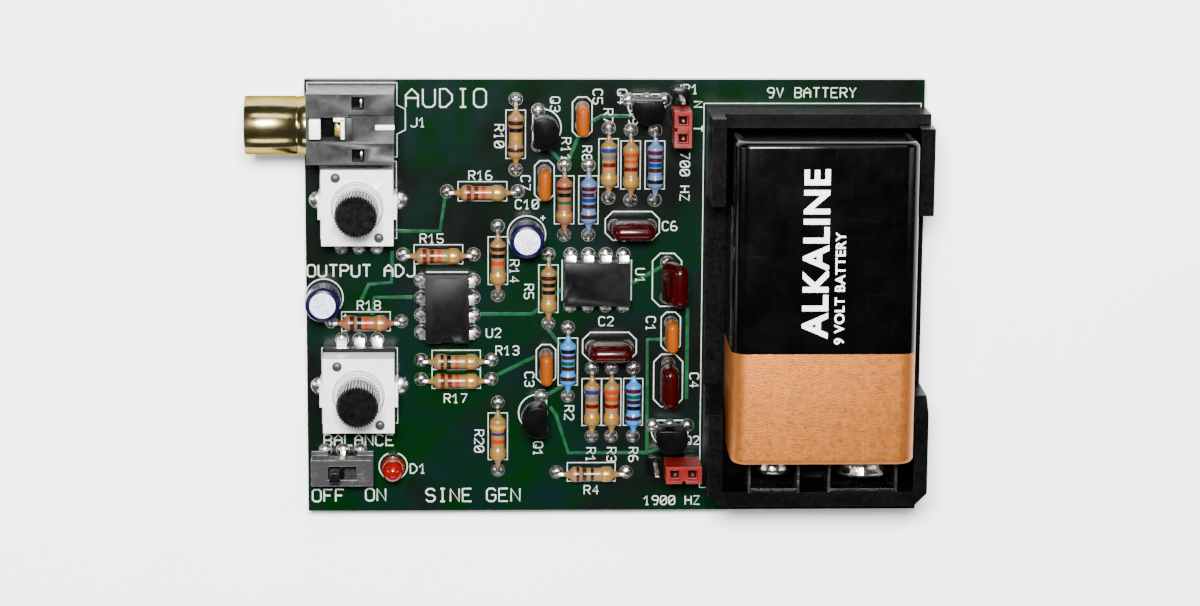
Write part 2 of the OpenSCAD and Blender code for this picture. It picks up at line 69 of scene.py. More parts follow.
tailEnd = -boardThick - 1.2  # where the clipped leads end, below the upper face


def boardPoint(x, y, z=0):
    # board millimetres, from its front left corner and its upper face
    return Vector((boardLow.x + x * mm, boardLow.y + y * mm, boardTop + z * mm))


def placed(point, turn=0):
    return Matrix.Translation(point) @ Matrix.Rotation(math.radians(turn), 4, "Z")


def onBoard(point, turn=0):
    return placed(Vector((point.x, point.y, boardTop)), turn)


def middle(node):
    low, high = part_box(node)
    return (low + high) / 2


def corners(points):
    # lowest and highest corner of the box round some points
    return [Vector([pick(p[i] for p in points) for i in range(3)]) for pick in (min, max)]


def footing(node):
    # the box of what a component pushes through the board
    mesh = frame["nodes"][node].data
    return corners([v.co for v in mesh.vertices if v.co.z < boardLow.z - 0.5 * mm])


def seating(node):
    # middle of a component's leads, and its turn: 0 lies along X, 90 along Y
    low, high = footing(node)
    size = high - low
    return onBoard((low + high) / 2, 0 if size.x > size.y else 90)


def newGroup(name, inputs, outputs):
    group = bpy.data.node_groups.new(name, "ShaderNodeTree")
    for label, value in inputs.items():
        kind = "NodeSocketColor" if isinstance(value, tuple) else "NodeSocketFloat"
        socket = group.interface.new_socket(name=label, in_out="INPUT", socket_type=kind)
        socket.default_value = (*value, 1) if isinstance(value, tuple) else value
    for label in outputs:
        kind = "NodeSocketColor" if label == "Color" else "NodeSocketFloat"
        group.interface.new_socket(name=label, in_out="OUTPUT", socket_type=kind)
    return group, group.nodes.new("NodeGroupInput"), group.nodes.new("NodeGroupOutput")


def addNode(tree, kind, feeds={}, **settings):
    # feeds: socket name or number to a value or to another node's output
    node = tree.nodes.new(kind)
    for label, value in settings.items():
        setattr(node, label, value)
    for label, value in feeds.items():
        if isinstance(value, bpy.types.NodeSocket):
            tree.links.new(value, node.inputs[label])
        elif isinstance(value, tuple) and len(value) == 3 and node.inputs[label].type == "RGBA":
            node.inputs[label].default_value = (*value, 1)
        else:
            node.inputs[label].default_value = value
    return node


def millimetres(tree, stretch=(1, 1, 1)):
    place = addNode(tree, "ShaderNodeTexCoord")
    scale = tuple(s / mm for s in stretch)
    return addNode(tree, "ShaderNodeMapping", {"Vector": place.outputs["Object"], "Scale": scale}).outputs[0]


def noiseAt(tree, scale, detail, stretch=(1, 1, 1)):
    # plain noise, its scale per millimetre
    return addNode(tree, "ShaderNodeTexNoise", {
        "Vector": millimetres(tree, stretch), "Scale": scale, "Detail": detail}).outputs["Fac"]


def ramped(tree, value, low, high, start=0.0, end=1.0):
    return addNode(tree, "ShaderNodeMapRange", {
        "Value": value, "From Min": low, "From Max": high, "To Min": start, "To Max": end}).outputs[0]


def mathNode(tree, operation, a, b=0.0):
    return addNode(tree, "ShaderNodeMath", {0: a, 1: b}, operation=operation).outputs[0]


def blended(tree, factor, a, b):
    mix = addNode(tree, "ShaderNodeMix", {"Factor": factor, "A": a, "B": b}, data_type="RGBA")
    return mix.outputs["Result"]


def makeMottle():
    # soft colour clouds between two tones, with a finer grain over them
    group, given, result = newGroup(
        "mottle", {"Tone": (1, 1, 1), "Other": (0, 0, 0), "Size": 2.0, "Amount": 0.5}, ["Color", "Mask"])
    scale = mathNode(group, "DIVIDE", 1.0, given.outputs["Size"])
    noise = addNode(group, "ShaderNodeTexNoise", {
        "Vector": millimetres(group), "Scale": scale, "Detail": 5.0, "Roughness": 0.62})
    mask = ramped(group, noise.outputs["Fac"], 0.36, 0.64)
    part = mathNode(group, "MULTIPLY", mask, given.outputs["Amount"])
    color = blended(group, part, given.outputs["Tone"], given.outputs["Other"])
    group.links.new(color, result.inputs["Color"])
    group.links.new(mask, result.inputs["Mask"])
    return group


def makeGrain():
    # moulded or sanded texture, as a height
    group, given, result = newGroup("grain", {"Size": 0.2, "Along": 1.0}, ["Height"])
    place = addNode(group, "ShaderNodeTexCoord")
    stretch = addNode(group, "ShaderNodeCombineXYZ", {"X": given.outputs["Along"], "Y": 1.0, "Z": 1.0})
    scaled = addNode(group, "ShaderNodeVectorMath", {
        0: place.outputs["Object"], 1: stretch.outputs[0]}, operation="MULTIPLY")
    scale = mathNode(group, "DIVIDE", 1 / mm, given.outputs["Size"])
    noise = addNode(group, "ShaderNodeTexNoise", {
        "Vector": scaled.outputs[0], "Scale": scale, "Detail": 3.0, "Roughness": 0.7})
    group.links.new(noise.outputs["Fac"], result.inputs["Height"])
    return group


def makeScuffs():
    # long thin scratches in two directions, broken up by clouds
    group, given, result = newGroup("scuffs", {"Amount": 0.5, "Spacing": 1.0}, ["Mask"])
    found = []
    for stretch in ((0.08, 1.6, 1), (1.4, 0.12, 1)):
        scale = mathNode(group, "DIVIDE", 1.0, given.outputs["Spacing"])
        lines = addNode(group, "ShaderNodeTexNoise", {
            "Vector": millimetres(group, stretch), "Scale": scale, "Detail": 2.0, "Distortion": 0.6})
        away = mathNode(group, "ABSOLUTE", mathNode(group, "SUBTRACT", lines.outputs["Fac"], 0.5))
        found.append(ramped(group, away, 0.0, 0.012, 1.0, 0.0))
    clouds = ramped(group, noiseAt(group, 0.35, 2.0), 0.45, 0.62)
    broken = mathNode(group, "MULTIPLY", mathNode(group, "MAXIMUM", *found), clouds)
    group.links.new(mathNode(group, "MULTIPLY", broken, given.outputs["Amount"]), result.inputs["Mask"])
    return group


def makeDust():
    # settled dust: only on what faces up, in clouds and small specks
    group, given, result = newGroup("dust", {"Amount": 0.3}, ["Mask"])
    normal = addNode(group, "ShaderNodeNewGeometry").outputs["Normal"]
    up = addNode(group, "ShaderNodeSeparateXYZ", {0: normal}).outputs["Z"]
    facing = ramped(group, up, 0.5, 0.95)
    spots = ramped(group, noiseAt(group, 3.5, 1.0), 0.68, 0.74)
    haze = mathNode(group, "MULTIPLY", ramped(group, noiseAt(group, 0.22, 6.0), 0.42, 0.7), 0.45)
    both = mathNode(group, "MULTIPLY", mathNode(group, "MAXIMUM", haze, spots), facing)
    group.links.new(mathNode(group, "MULTIPLY", both, given.outputs["Amount"]), result.inputs["Mask"])
    return group


def makeEdges():
    # 1 along outer edges, where a rounded normal leaves the true one; finishes colour these edges lighter
    group, given, result = newGroup("edges", {"Width": 0.15}, ["Mask"])
    radius = mathNode(group, "MULTIPLY", given.outputs["Width"], mm)
    soft = addNode(group, "ShaderNodeBevel", {"Radius": radius}, samples=6)
    true = addNode(group, "ShaderNodeNewGeometry")
    same = addNode(group, "ShaderNodeVectorMath", {
        0: soft.outputs[0], 1: true.outputs["Normal"]}, operation="DOT_PRODUCT")
    edge = ramped(group, same.outputs["Value"], 0.995, 0.86)
    patchy = ramped(group, noiseAt(group, 1.6, 3.0), 0.35, 0.6)
    group.links.new(mathNode(group, "MULTIPLY", edge, patchy), result.inputs["Mask"])
    return group


groups = {"mottle": makeMottle(), "grain": makeGrain(), "scuffs": makeScuffs(),
          "dust": makeDust(), "edges": makeEdges()}
dustTone = (0.36, 0.35, 0.32)


def placeGroup(tree, name, **feeds):
    node = tree.nodes.new("ShaderNodeGroup")
    node.node_tree = groups[name]
    for label, value in feeds.items():
        if isinstance(value, bpy.types.NodeSocket):
            tree.links.new(value, node.inputs[label])
        else:
            node.inputs[label].default_value = (*value, 1) if isinstance(value, tuple) else value
    return node


# what a finish may set on its shader, the same all over
shaderInputs = {"metallic": "Metallic", "specular": "Specular IOR Level", "tint": "Specular Tint",
                "coat": "Coat Weight", "coatRough": "Coat Roughness"}


def toned(value):
    # one number stands for a grey
    return value if isinstance(value, tuple) else (value, value, value)


def finish(name, look, paint=None):
    # a material from its dictionary; paint, if given, returns the base colour's socket
    material = bpy.data.materials.new(name)
    material.use_nodes = True
    tree = material.node_tree
    shader = tree.nodes["Principled BSDF"]
    tone = toned(look["tone"])
    other = toned(look.get("other", tuple(c * 0.5 for c in tone)))
    mottle = placeGroup(tree, "mottle", Tone=tone, Other=other,
                        Size=look.get("cloud", 2.0), Amount=look.get("vary", 0.6))
    color = paint(tree, mottle.outputs["Color"]) if paint else mottle.outputs["Color"]
    roughest = look["rough"] + look.get("roughVary", 0.08)
    rough = ramped(tree, mottle.outputs["Mask"], 0, 1, look["rough"], roughest)
    if "scuffs" in look:
        scuffs = placeGroup(tree, "scuffs", Amount=look["scuffs"], Spacing=look.get("spacing", 1.0))
        scratch = scuffs.outputs["Mask"]
        scuffTone = look.get("scuffTone", tuple(min(1, c * 3 + 0.05) for c in tone))
        color = blended(tree, scratch, color, toned(scuffTone))
        rough = mathNode(tree, "ADD", rough, mathNode(tree, "MULTIPLY", scratch, 0.2))
    # outer edges coloured lighter along the edges mask
    if "edges" in look:
        lighterEdge = placeGroup(tree, "edges", Width=look["edges"]).outputs["Mask"]
        edgeTone = look.get("edgeTone", tuple(min(1, c * 4 + 0.06) for c in tone))
        color = blended(tree, mathNode(tree, "MULTIPLY", lighterEdge, look.get("edgeLighten", 0.6)), color, toned(edgeTone))
    if "dust" in look:
        dust = placeGroup(tree, "dust", Amount=look["dust"]).outputs["Mask"]
        color = blended(tree, dust, color, dustTone)
        rough = mathNode(tree, "ADD", rough, mathNode(tree, "MULTIPLY", dust, 0.4))
    tree.links.new(color, shader.inputs["Base Color"])
    tree.links.new(rough, shader.inputs["Roughness"])
    if "grain" in look:
        grain = placeGroup(tree, "grain", Size=look["grain"], Along=look.get("along", 1.0))
        bump = addNode(tree, "ShaderNodeBump", {
            "Strength": look.get("relief", 0.3), "Distance": 0.05 * mm, "Height": grain.outputs["Height"]})
        tree.links.new(bump.outputs[0], shader.inputs["Normal"])
    for key, label in shaderInputs.items():
        if key in look:
            shader.inputs[label].default_value = look[key]
    return material


def added(target, part):
    # adds a part to the target as it stands
    passing = bpy.data.meshes.new("passing")
    part.to_mesh(passing)
    part.free()
    target.from_mesh(passing)
    bpy.data.meshes.remove(passing)


def joined(target, part, place=Matrix(), material=None):
    # adds a closed part to the target at its place
    bmesh.ops.remove_doubles(part, verts=part.verts, dist=0.001 * mm)
    bmesh.ops.recalc_face_normals(part, faces=part.faces)
    if material is not None:
        for face in part.faces:
            face.material_index = material
    part.transform(place)
    if place.determinant() < 0:
        bmesh.ops.reverse_faces(part, faces=part.faces)
    added(target, part)


def rolled(part, edges, width, segments=2):
    # rounds the given edges, or chamfers them with one segment; the width is in millimetres
    bmesh.ops.bevel(part, geom=edges, offset=width * mm, segments=segments,
                    affect="EDGES", profile=0.5, material=-1)


def raised(part, faces, height, taper=1):
    # pulls faces up by millimetres and draws them in
    moved = bmesh.ops.extrude_face_region(part, geom=faces)
    verts = [v for v in moved["geom"] if isinstance(v, bmesh.types.BMVert)]
    bmesh.ops.translate(part, vec=(0, 0, height * mm), verts=verts)
    bmesh.ops.scale(part, vec=(taper, taper, 1), verts=verts)


def spun(profile, segments=32):
    # a closed shape turned round Z from (radius, height) points in millimetres
    part = bmesh.new()
    verts = [part.verts.new((r * mm, 0, z * mm)) for r, z in profile]
    edges = [part.edges.new(pair) for pair in zip(verts, verts[1:])]
    bmesh.ops.spin(part, geom=verts + edges, cent=(0, 0, 0), axis=(0, 0, 1), dvec=(0, 0, 0),
                   angle=2 * math.pi, steps=segments, use_merge=True)
    bmesh.ops.remove_doubles(part, verts=part.verts, dist=0.001 * mm)
    return part


def block(size, at=(0, 0, 0), bevel=0.1, segments=2):
    # a softened box in millimetres, from the middle of its lower face
    part = bmesh.new()
    bmesh.ops.create_cube(part, size=1)
    bmesh.ops.scale(part, vec=Vector(size) * mm, verts=part.verts)
    bmesh.ops.translate(part, vec=(Vector(at) + Vector((0, 0, size[2] / 2))) * mm, verts=part.verts)
    if bevel:
        rolled(part, part.edges[:], bevel, segments)
    return part


def meshed(curve):
    # a curve or a text turned into a mesh
    holder = bpy.data.objects.new("holder", curve)
    mesh = bpy.data.meshes.new_from_object(holder)
    part = bmesh.new()
    part.from_mesh(mesh)
    bpy.data.objects.remove(holder)
    bpy.data.meshes.remove(mesh)
    bpy.data.curves.remove(curve)
    return part


def curveMesh(strokes, radius, kind="POLY", resolution=1, closed=()):
    # every stroke is a list of points in metres; closed holds the numbers of the closed ones
    curve = bpy.data.curves.new("stroke", "CURVE")
    curve.dimensions = "3D"
    curve.bevel_depth = radius * mm
    curve.bevel_resolution = resolution
    curve.resolution_u = 5
    curve.use_fill_caps = True
    for number, points in enumerate(strokes):
        spline = curve.splines.new(kind)
        spline.points.add(len(points) - 1)
        for point, here in zip(spline.points, points):
            point.co = (*here, 1)
        spline.use_cyclic_u = number in closed
        if kind == "NURBS":
            spline.order_u = 3
            spline.use_endpoint_u = True
    return meshed(curve)


def wire(points, radius=0.3):
    # a formed lead through the given points in millimetres, with rounded bends
    return curveMesh([[Vector(p) * mm for p in points]], radius, "NURBS", 2)


def finished(name, bm, materials, body, replaced=(), smooth=35):
    mesh = bpy.data.meshes.new(name)
    bm.to_mesh(mesh)
    bm.free()
    for material in materials:
        mesh.materials.append(material)
    mesh.polygons.foreach_set("use_smooth", [True] * len(mesh.polygons))
    mesh.set_sharp_from_angle(angle=math.radians(smooth))
    piece = bpy.data.objects.new(name, mesh)
    bpy.context.scene.collection.objects.link(piece)
    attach(piece, body)
    if replaced:
        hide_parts(*replaced)
    return piece


def cadMesh(node):
    # a copy of a CAD node's mesh with its doubled points joined
    bm = bmesh.new()
    bm.from_mesh(frame["nodes"][node].data)
    bmesh.ops.remove_doubles(bm, verts=bm.verts, dist=0.002 * mm)
    return bm


def merged(node):
    # the same with its loose triangles joined into plain faces
    bm = cadMesh(node)
    bmesh.ops.dissolve_limit(bm, angle_limit=math.radians(0.5), verts=bm.verts, edges=bm.edges)
    for face in bm.faces:
        face.material_index = 0
    return bm


def softened(node, name, materials, width=0.12, extra=None, angle=40, segments=2):
    # the CAD shape with rolled edges; extra may add its own details to the mesh first
    bm = merged(node)
    if extra:
        extra(bm)
    body = frame["nodes"][node]["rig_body"]
    piece = finished(name, bm, materials, body, [node], angle)
    bevel = piece.modifiers.new("soft edges", "BEVEL")
    bevel.width = width * mm
    bevel.segments = segments
    bevel.limit_method = "ANGLE"
    bevel.angle_limit = math.radians(angle)
    bevel.harden_normals = True
    return piece


def leadsDown(bm, node, upTo, material=1, radius=0.3):
    # straight leads under a component that hides their upper ends
    for low, high in islandsBelow(node):
        at = (low + high) / 2
        joined(bm, spun([(0, tailEnd), (radius, tailEnd), (radius, upTo), (0, upTo)], 12),
               onBoard(at), material)


def islandsBelow(node):
    # the separate lead tips that a component pushes through the board
    bm = cadMesh(node)
    low = [v.co.copy() for v in bm.verts if v.co.z < boardLow.z - 0.9 * mm]
    bm.free()
    tips = []
    for point in low:
        for tip in tips:
            if (tip[0] - point).length < 1.0 * mm:
                tip.append(point)
                break
        else:
            tips.append([point])
    return [corners(tip) for tip in tips]


print("helpers ready")

# Metals and plastics that more than one piece uses
tinned = finish("tinned_wire", {
    "tone": (0.62, 0.61, 0.58), "other": (0.3, 0.29, 0.27), "cloud": 0.7, "vary": 0.7, "rough": 0.16,
    "roughVary": 0.22, "grain": 0.12, "relief": 0.25, "metallic": 1.0})
solderMetal = finish("bright_solder", {
    "tone": (0.64, 0.63, 0.61), "other": (0.2, 0.19, 0.18), "cloud": 0.9, "vary": 0.8, "rough": 0.2,
    "roughVary": 0.1, "grain": 0.9, "relief": 0.12, "metallic": 1.0})
padMetal = finish("tinned_pad", {
    "tone": (0.34, 0.33, 0.3), "other": (0.16, 0.15, 0.12), "cloud": 0.5, "rough": 0.24,
    "grain": 0.2, "relief": 0.3, "metallic": 1.0})
mouldedBlack = finish("moulded_black", {
    "tone": 0.0008, "other": 0.002, "cloud": 1.6, "rough": 0.17,
    "roughVary": 0.06, "grain": 0.14, "relief": 0.12, "dust": 0.002, "scuffs": 0.1, "scuffTone": 0.006,
    "specular": 0.05})

boardLook = {"tone": (0.0002, 0.0085, 0.0006), "other": (0.0003, 0.004, 0.0055), "cloud": 7.0, "vary": 0.9,
             "rough": 0.16, "roughVary": 0.08, "grain": 0.45, "relief": 0.08, "dust": 0.003,
             "specular": 0.12}


def boardPaint(tree, color):
    # darker copper pour in places, and the bare laminate along the cut edges
    dark = ramped(tree, noiseAt(tree, 0.05, 3.0), 0.46, 0.6)
    color = blended(tree, dark, color, (0.0016, 0.0024, 0.0018))
    normal = addNode(tree, "ShaderNodeNewGeometry").outputs["Normal"]
    up = addNode(tree, "ShaderNodeSeparateXYZ", {0: normal}).outputs["Z"]
    side = ramped(tree, mathNode(tree, "ABSOLUTE", up), 0.5, 0.3)
    layers = noiseAt(tree, 1.0, 2.0, (0.6, 0.6, 9))
    laminate = blended(tree, layers, (0.03, 0.12, 0.035), (0.1, 0.2, 0.07))
    return blended(tree, side, color, laminate)


boardMaterial = finish("solder_mask", boardLook, boardPaint)
frame["nodes"]["circuit_board"].data.materials.clear()
frame["nodes"]["circuit_board"].data.materials.append(boardMaterial)

# Tracks that show through the mask, as bends in board millimetres
tracks = {"width": 0.52, "routes": [
    [(20.2, 47.6), (19.3, 41.5), (12.7, 41.5)],
    [(12.4, 38.6), (12.3, 34.0), (9.0, 33.7), (7.9, 31.4)],
    [(15.3, 31.8), (9.8, 31.8), (9.5, 29.2)],
    [(6.2, 27.2), (4.9, 25.6)],
    [(24.3, 29.3), (32.6, 29.3), (33.7, 30.2)],
    [(27.0, 20.0), (33.0, 23.0)],
    [(34.9, 27.0), (37.0, 24.3)],
    [(37.8, 19.0), (34.9, 17.4)],
    [(35.2, 15.5), (36.1, 14.3), (37.9, 8.6), (49.4, 8.6), (51.6, 9.4)],
    [(49.4, 8.6), (49.3, 25.5), (52.4, 25.5)],
    [(55.1, 30.2), (55.1, 16.6)],
    [(46.3, 33.4), (51.6, 36.4)],
    [(34.9, 31.4), (37.2, 33.2)],
    [(34.6, 53.8), (36.9, 51.4)],
    [(37.4, 51.0), (39.4, 55.8)],
    [(39.8, 56.6), (42.4, 58.2), (47.8, 58.2)]]}


def flattened(part, height):
    # presses round strokes into a thin layer on the board
    bmesh.ops.scale(part, vec=(1, 1, height), verts=part.verts, space=Matrix.Translation((0, 0, -boardTop)))
    return part


def makeTracks():
    strokes = [[boardPoint(*p) for p in route] for route in tracks["routes"]]
    bm = bmesh.new()
    joined(bm, flattened(curveMesh(strokes, tracks["width"] / 2), 0.1))
    look = dict(boardLook, tone=(0.003, 0.028, 0.009), other=(0.008, 0.05, 0.022), cloud=1.2, rough=0.16)
    finished("board_tracks", bm, [finish("mask_over_copper", look)], "board", smooth=60)


makeTracks()
print("board ready")

jointLook = {"pad": 1.0, "segments": 20, "tilt": 7, "seed": 5}


def jointSpots():
    # middle of every joint, and whether its upper fillet shows
    bm = cadMesh("solder_joints")
    left = set(bm.verts)
    spots = []
    while left:
        edge = [left.pop()]
        island = list(edge)
        while edge:
            for link in edge.pop().link_edges:
                for vert in link.verts:
                    if vert in left:
                        left.remove(vert)
                        edge.append(vert)
                        island.append(vert)
        xs = [v.co.x for v in island]
        ys = [v.co.y for v in island]
        top = max(v.co.z for v in island)
        spots.append(((min(xs) + max(xs)) / 2, (min(ys) + max(ys)) / 2, top > boardTop + 0.2 * mm))
    bm.free()
    return sorted(set((round(x, 6), round(y, 6), shown) for x, y, shown in spots))


def makeJoints():
    chance = random.Random(jointLook["seed"])
    pad = jointLook["pad"]
    bm = bmesh.new()
    under = -boardThick
    for x, y, shown in jointSpots():
        swell = chance.uniform(0.86, 1.06)
        lean = Matrix.Rotation(math.radians(chance.uniform(-1, 1) * jointLook["tilt"]), 4, "X")
        place = placed(Vector((x, y, boardTop)), chance.uniform(0, 360)) @ lean
        flat = placed(Vector((x, y, boardTop)))
        joined(bm, spun([(0, under - 1.2), (0.3, under - 1.15), (0.36, under - 0.72), (0.5, under - 0.42),
                         (0.8 * swell, under - 0.16), (pad * 0.97, under - 0.02), (0, under)],
                        jointLook["segments"]), flat, 0)
        joined(bm, spun([(0.5, under), (pad, under), (pad, under - 0.04), (0.5, under - 0.04), (0.5, under)],
                        jointLook["segments"]), flat, 1)
        if shown:
            joined(bm, spun([(0, 0.7 * swell), (0.2, 0.69 * swell), (0.42, 0.62 * swell), (0.62, 0.5 * swell),
                             (0.8, 0.33), (0.93, 0.12), (0.97, 0), (0.9, -0.1), (0, -0.1)],
                            jointLook["segments"]), place, 0)
            joined(bm, spun([(0.5, 0), (pad, 0), (pad, 0.04), (0.5, 0.04), (0.5, 0)],
                            jointLook["segments"]), flat, 1)
    finished("solder", bm, [solderMetal, padMetal], "board", ["solder_joints"], 50)


makeJoints()
print("solder ready")

resistorLook = {
    "length": 6.6, "diameter": 2.3, "waist": 1.94, "band": 0.58, "steps": 44,
    "four": [-1.95, -0.95, 0.15, 1.95], "five": [-2.05, -1.1, -0.3, 0.5, 2.05], "seed": 11,
    "bodies": {"tan": ((0.135, 0.072, 0.02), "resistor_tan"), "pink": ((0.13, 0.045, 0.018), "resistor_tan"),
               "blue": ((0.015, 0.115, 0.34), "resistor_blue"),
               "grey": ((0.045, 0.085, 0.17), "resistor_grey")},
    "bands": {"black": (0.0008, 0.0008, 0.0008), "brown": (0.013, 0.0025, 0.0015), "red": (0.06, 0.0, 0.0),
              "orange": (0.22, 0.012, 0.0), "yellow": (0.36, 0.15, 0.0), "green": (0.001, 0.035, 0.012),
              "blue": (0.002, 0.01, 0.08), "violet": (0.018, 0.006, 0.045), "grey": (0.05, 0.05, 0.053),
              "gold": (0.34, 0.17, 0.02), "wine": (0.028, 0.0015, 0.005)}}
# body, then the bands from the left or the far end
resistorCodes = {
    "resistor_r1": "tan blue grey red gold", "resistor_r2": "blue black wine green brown brown",
    "resistor_r3": "tan orange orange red gold", "resistor_r4": "tan brown brown black gold",
    "resistor_r5": "tan brown black black gold", "resistor_r6": "blue wine green brown black brown",
    "resistor_r7": "tan blue grey red gold", "resistor_r8": "grey wine wine blue brown brown",
    "resistor_r9": "tan orange orange red gold", "resistor_r10": "tan brown black gold brown",
    "resistor_r11": "pink brown black green gold", "resistor_r12": "grey wine wine blue brown black",
    "resistor_r13": "tan brown black orange gold", "resistor_r14": "tan brown black orange gold",
    "resistor_r15": "tan red red orange gold", "resistor_r16": "tan red red orange gold",
    "resistor_r17": "tan red red orange gold", "resistor_r18": "pink brown black orange gold",
    "resistor_r20": "tan yellow violet orange gold"}


def resistorRadius(x):
    # two bulbs joined by a narrower middle, drawn out onto the leads at both ends
    look = resistorLook
    along = abs(x) / (look["length"] / 2)
    rise = min(1, max(0, (along - 0.36) / 0.2))
    radius = look["waist"] / 2 + (look["diameter"] - look["waist"]) / 2 * rise * rise * (3 - 2 * rise)
    close = max(0, (along - 0.76) / 0.24)
    return max(0.6, radius * math.sqrt(max(0, 1 - close * close * 0.96)))


def lacquer(name, color):
    return finish("lacquer_" + name, {
        "tone": color, "other": tuple(c * 0.72 for c in color), "cloud": 1.1, "vary": 0.8, "rough": 0.3,
        "grain": 0.35, "relief": 0.3, "dust": 0.004, "specular": 0.3, "coat": 0.2, "coatRough": 0.1})


def bandInk(name, color):
    return finish("band_" + name, {
        "tone": color, "other": tuple(c * 0.62 for c in color), "cloud": 0.9, "rough": 0.26, "grain": 0.3,
        "relief": 0.2, "metallic": 0.55 if name == "gold" else 0.0, "specular": 0.2, "coat": 0.12,
        "coatRough": 0.1})


def makeResistors():
    look = resistorLook
    chance = random.Random(look["seed"])
    bandFinish = {name: bandInk(name, color) for name, color in look["bands"].items()}
    bodyFinish = {name: lacquer(name, color) for name, (color, _) in look["bodies"].items()}
    for node, code in resistorCodes.items():
        body, *bands = code.split()
        place = seating(node)
        low, high = footing(node)
        reach = max((high - low).x, (high - low).y) / mm / 2 - 0.3
        if place.to_euler().z > 0.1:
            place = place @ Matrix.Rotation(math.pi, 4, "Z")  # the first band is at the far end
        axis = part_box(node)[1].z - boardTop
        height = axis / mm - look["diameter"] / 2
        bm = bmesh.new()
        half = look["length"] / 2
        step = look["length"] / look["steps"]
        profile = [(resistorRadius(i * step - half), i * step - half) for i in range(look["steps"] + 1)]
        neck = [(0, -half - 0.85), (0.31, -half - 0.85), (0.36, -half - 0.5), (0.46, -half - 0.2)]
        part = spun(neck + profile + [(r, -z) for r, z in reversed(neck)], 28)
        slide = chance.uniform(-0.12, 0.12)
        places = look["four"] if len(bands) == 4 else look["five"]
        for face in part.faces:
            z = face.calc_center_median().z / mm
            for number, at in enumerate(places):
                if abs(z - at - slide) < look["band"] / 2:
                    face.material_index = number + 2
        lay = Matrix.Translation((0, 0, height * mm)) @ Matrix.Rotation(math.pi / 2, 4, "Y")
        joined(bm, part, place @ lay)
        wander = chance.uniform(-0.12, 0.12) * 0.3
        for side in (-1, 1):
            points = [(half - 0.2, 0, height), (reach - 0.9, 0, height + wander),
                      (reach - 0.05, wander, height), (reach, 0, height - 0.9), (reach, 0, 0), (reach, 0, tailEnd)]
            joined(bm, wire([(side * x, y, z) for x, y, z in points]), place, 1)
        finished("body_" + node, bm, [bodyFinish[body], tinned] + [bandFinish[b] for b in bands],
                 "board", [node])


makeResistors()
print("resistors ready")

dippedLook = {
    "ceramic": {"size": (4.6, 1.9, 4.4), "base": 1.4, "round": 0.9, "slot": "ceramic_orange"},
    "film": {"size": (6.4, 2.7, 5.8), "base": 1.0, "round": 1.3, "slot": "film_red"},
    "lean": {"capacitor_c8": 20}}
dippedFinish = {
    "ceramic": finish("orange_dip", {
        "tone": (0.17, 0.034, 0.0), "other": (0.11, 0.018, 0.0), "cloud": 1.5, "rough": 0.3, "grain": 0.35,
        "relief": 0.4, "dust": 0.002, "specular": 0.12, "coat": 0.06}),
    "film": finish("red_dip", {
        "tone": (0.018, 0.0, 0.0), "other": (0.007, 0.0, 0.0), "cloud": 2.4, "rough": 0.16,
        "grain": 1.1, "relief": 0.15, "dust": 0.0005, "specular": 0.12, "coat": 0.12})}


def makeDipped(kind, node):
    look = dippedLook[kind]
    size, base = look["size"], look["base"]
    place = seating(node)
    low, high = footing(node)
    reach = max((high - low).x, (high - low).y) / mm / 2 - 0.3
    lean = Matrix.Rotation(math.radians(dippedLook["lean"].get(node, 0)), 4, "X")
    body = block(size, bevel=look["round"], segments=6)
    # the coating bellies out a little and draws in towards its top
    for vert in body.verts:
        rise = vert.co.z / mm / size[2]
        vert.co.y *= 0.9 + 0.1 * math.sin(math.pi * min(1, rise + 0.15))
        vert.co.x *= 1 - 0.03 * rise
    bm = bmesh.new()
    joined(bm, body, place @ Matrix.Translation((0, 0, base * mm)) @ lean, 0)
    for side in (-1, 1):
        foot = Matrix.Translation((side * reach * mm, 0, (base - 0.25) * mm))
        joined(bm, spun([(0, 0), (0.36, 0), (0.5, 0.3), (0.8, 0.75), (0.85, 1.2), (0, 1.2)], 16),
               place @ foot @ lean, 0)
        joined(bm, wire([(side * reach, 0, base + 0.4), (side * reach, 0, 0.4), (side * reach, 0, tailEnd)]),
               place, 1)
    finished("body_" + node, bm, [dippedFinish[kind], tinned], "board", [node], 50)


for name in ("capacitor_c1", "capacitor_c3", "capacitor_c5", "capacitor_c7"):
    makeDipped("ceramic", name)
for name in ("capacitor_c2", "capacitor_c4", "capacitor_c6", "capacitor_c8"):
    makeDipped("film", name)
print("dipped capacitors ready")

canLook = {"radius": 2.5, "height": 6.0, "segments": 48, "stripe": 180, "stripeHalf": 24, "dash": 0.6,
           "disc": 1.85, "score": 0.11}
sleeveLook = {"tone": (0.0012, 0.001, 0.02), "other": (0.001, 0.001, 0.006), "cloud": 1.2, "rough": 0.2,
              "grain": 0.6, "relief": 0.2, "dust": 0.002, "specular": 0.15}
canFinish = [
    finish("can_sleeve", sleeveLook),
    finish("can_stripe", dict(sleeveLook, tone=(0.05, 0.055, 0.1), other=(0.02, 0.022, 0.05))),
    finish("can_top", {
        "tone": (0.62, 0.63, 0.68), "other": (0.16, 0.18, 0.27), "cloud": 0.5, "vary": 0.7, "rough": 0.34,
        "roughVary": 0.2, "grain": 0.25, "relief": 0.6, "scuffs": 0.4, "metallic": 0.35}),
    tinned]


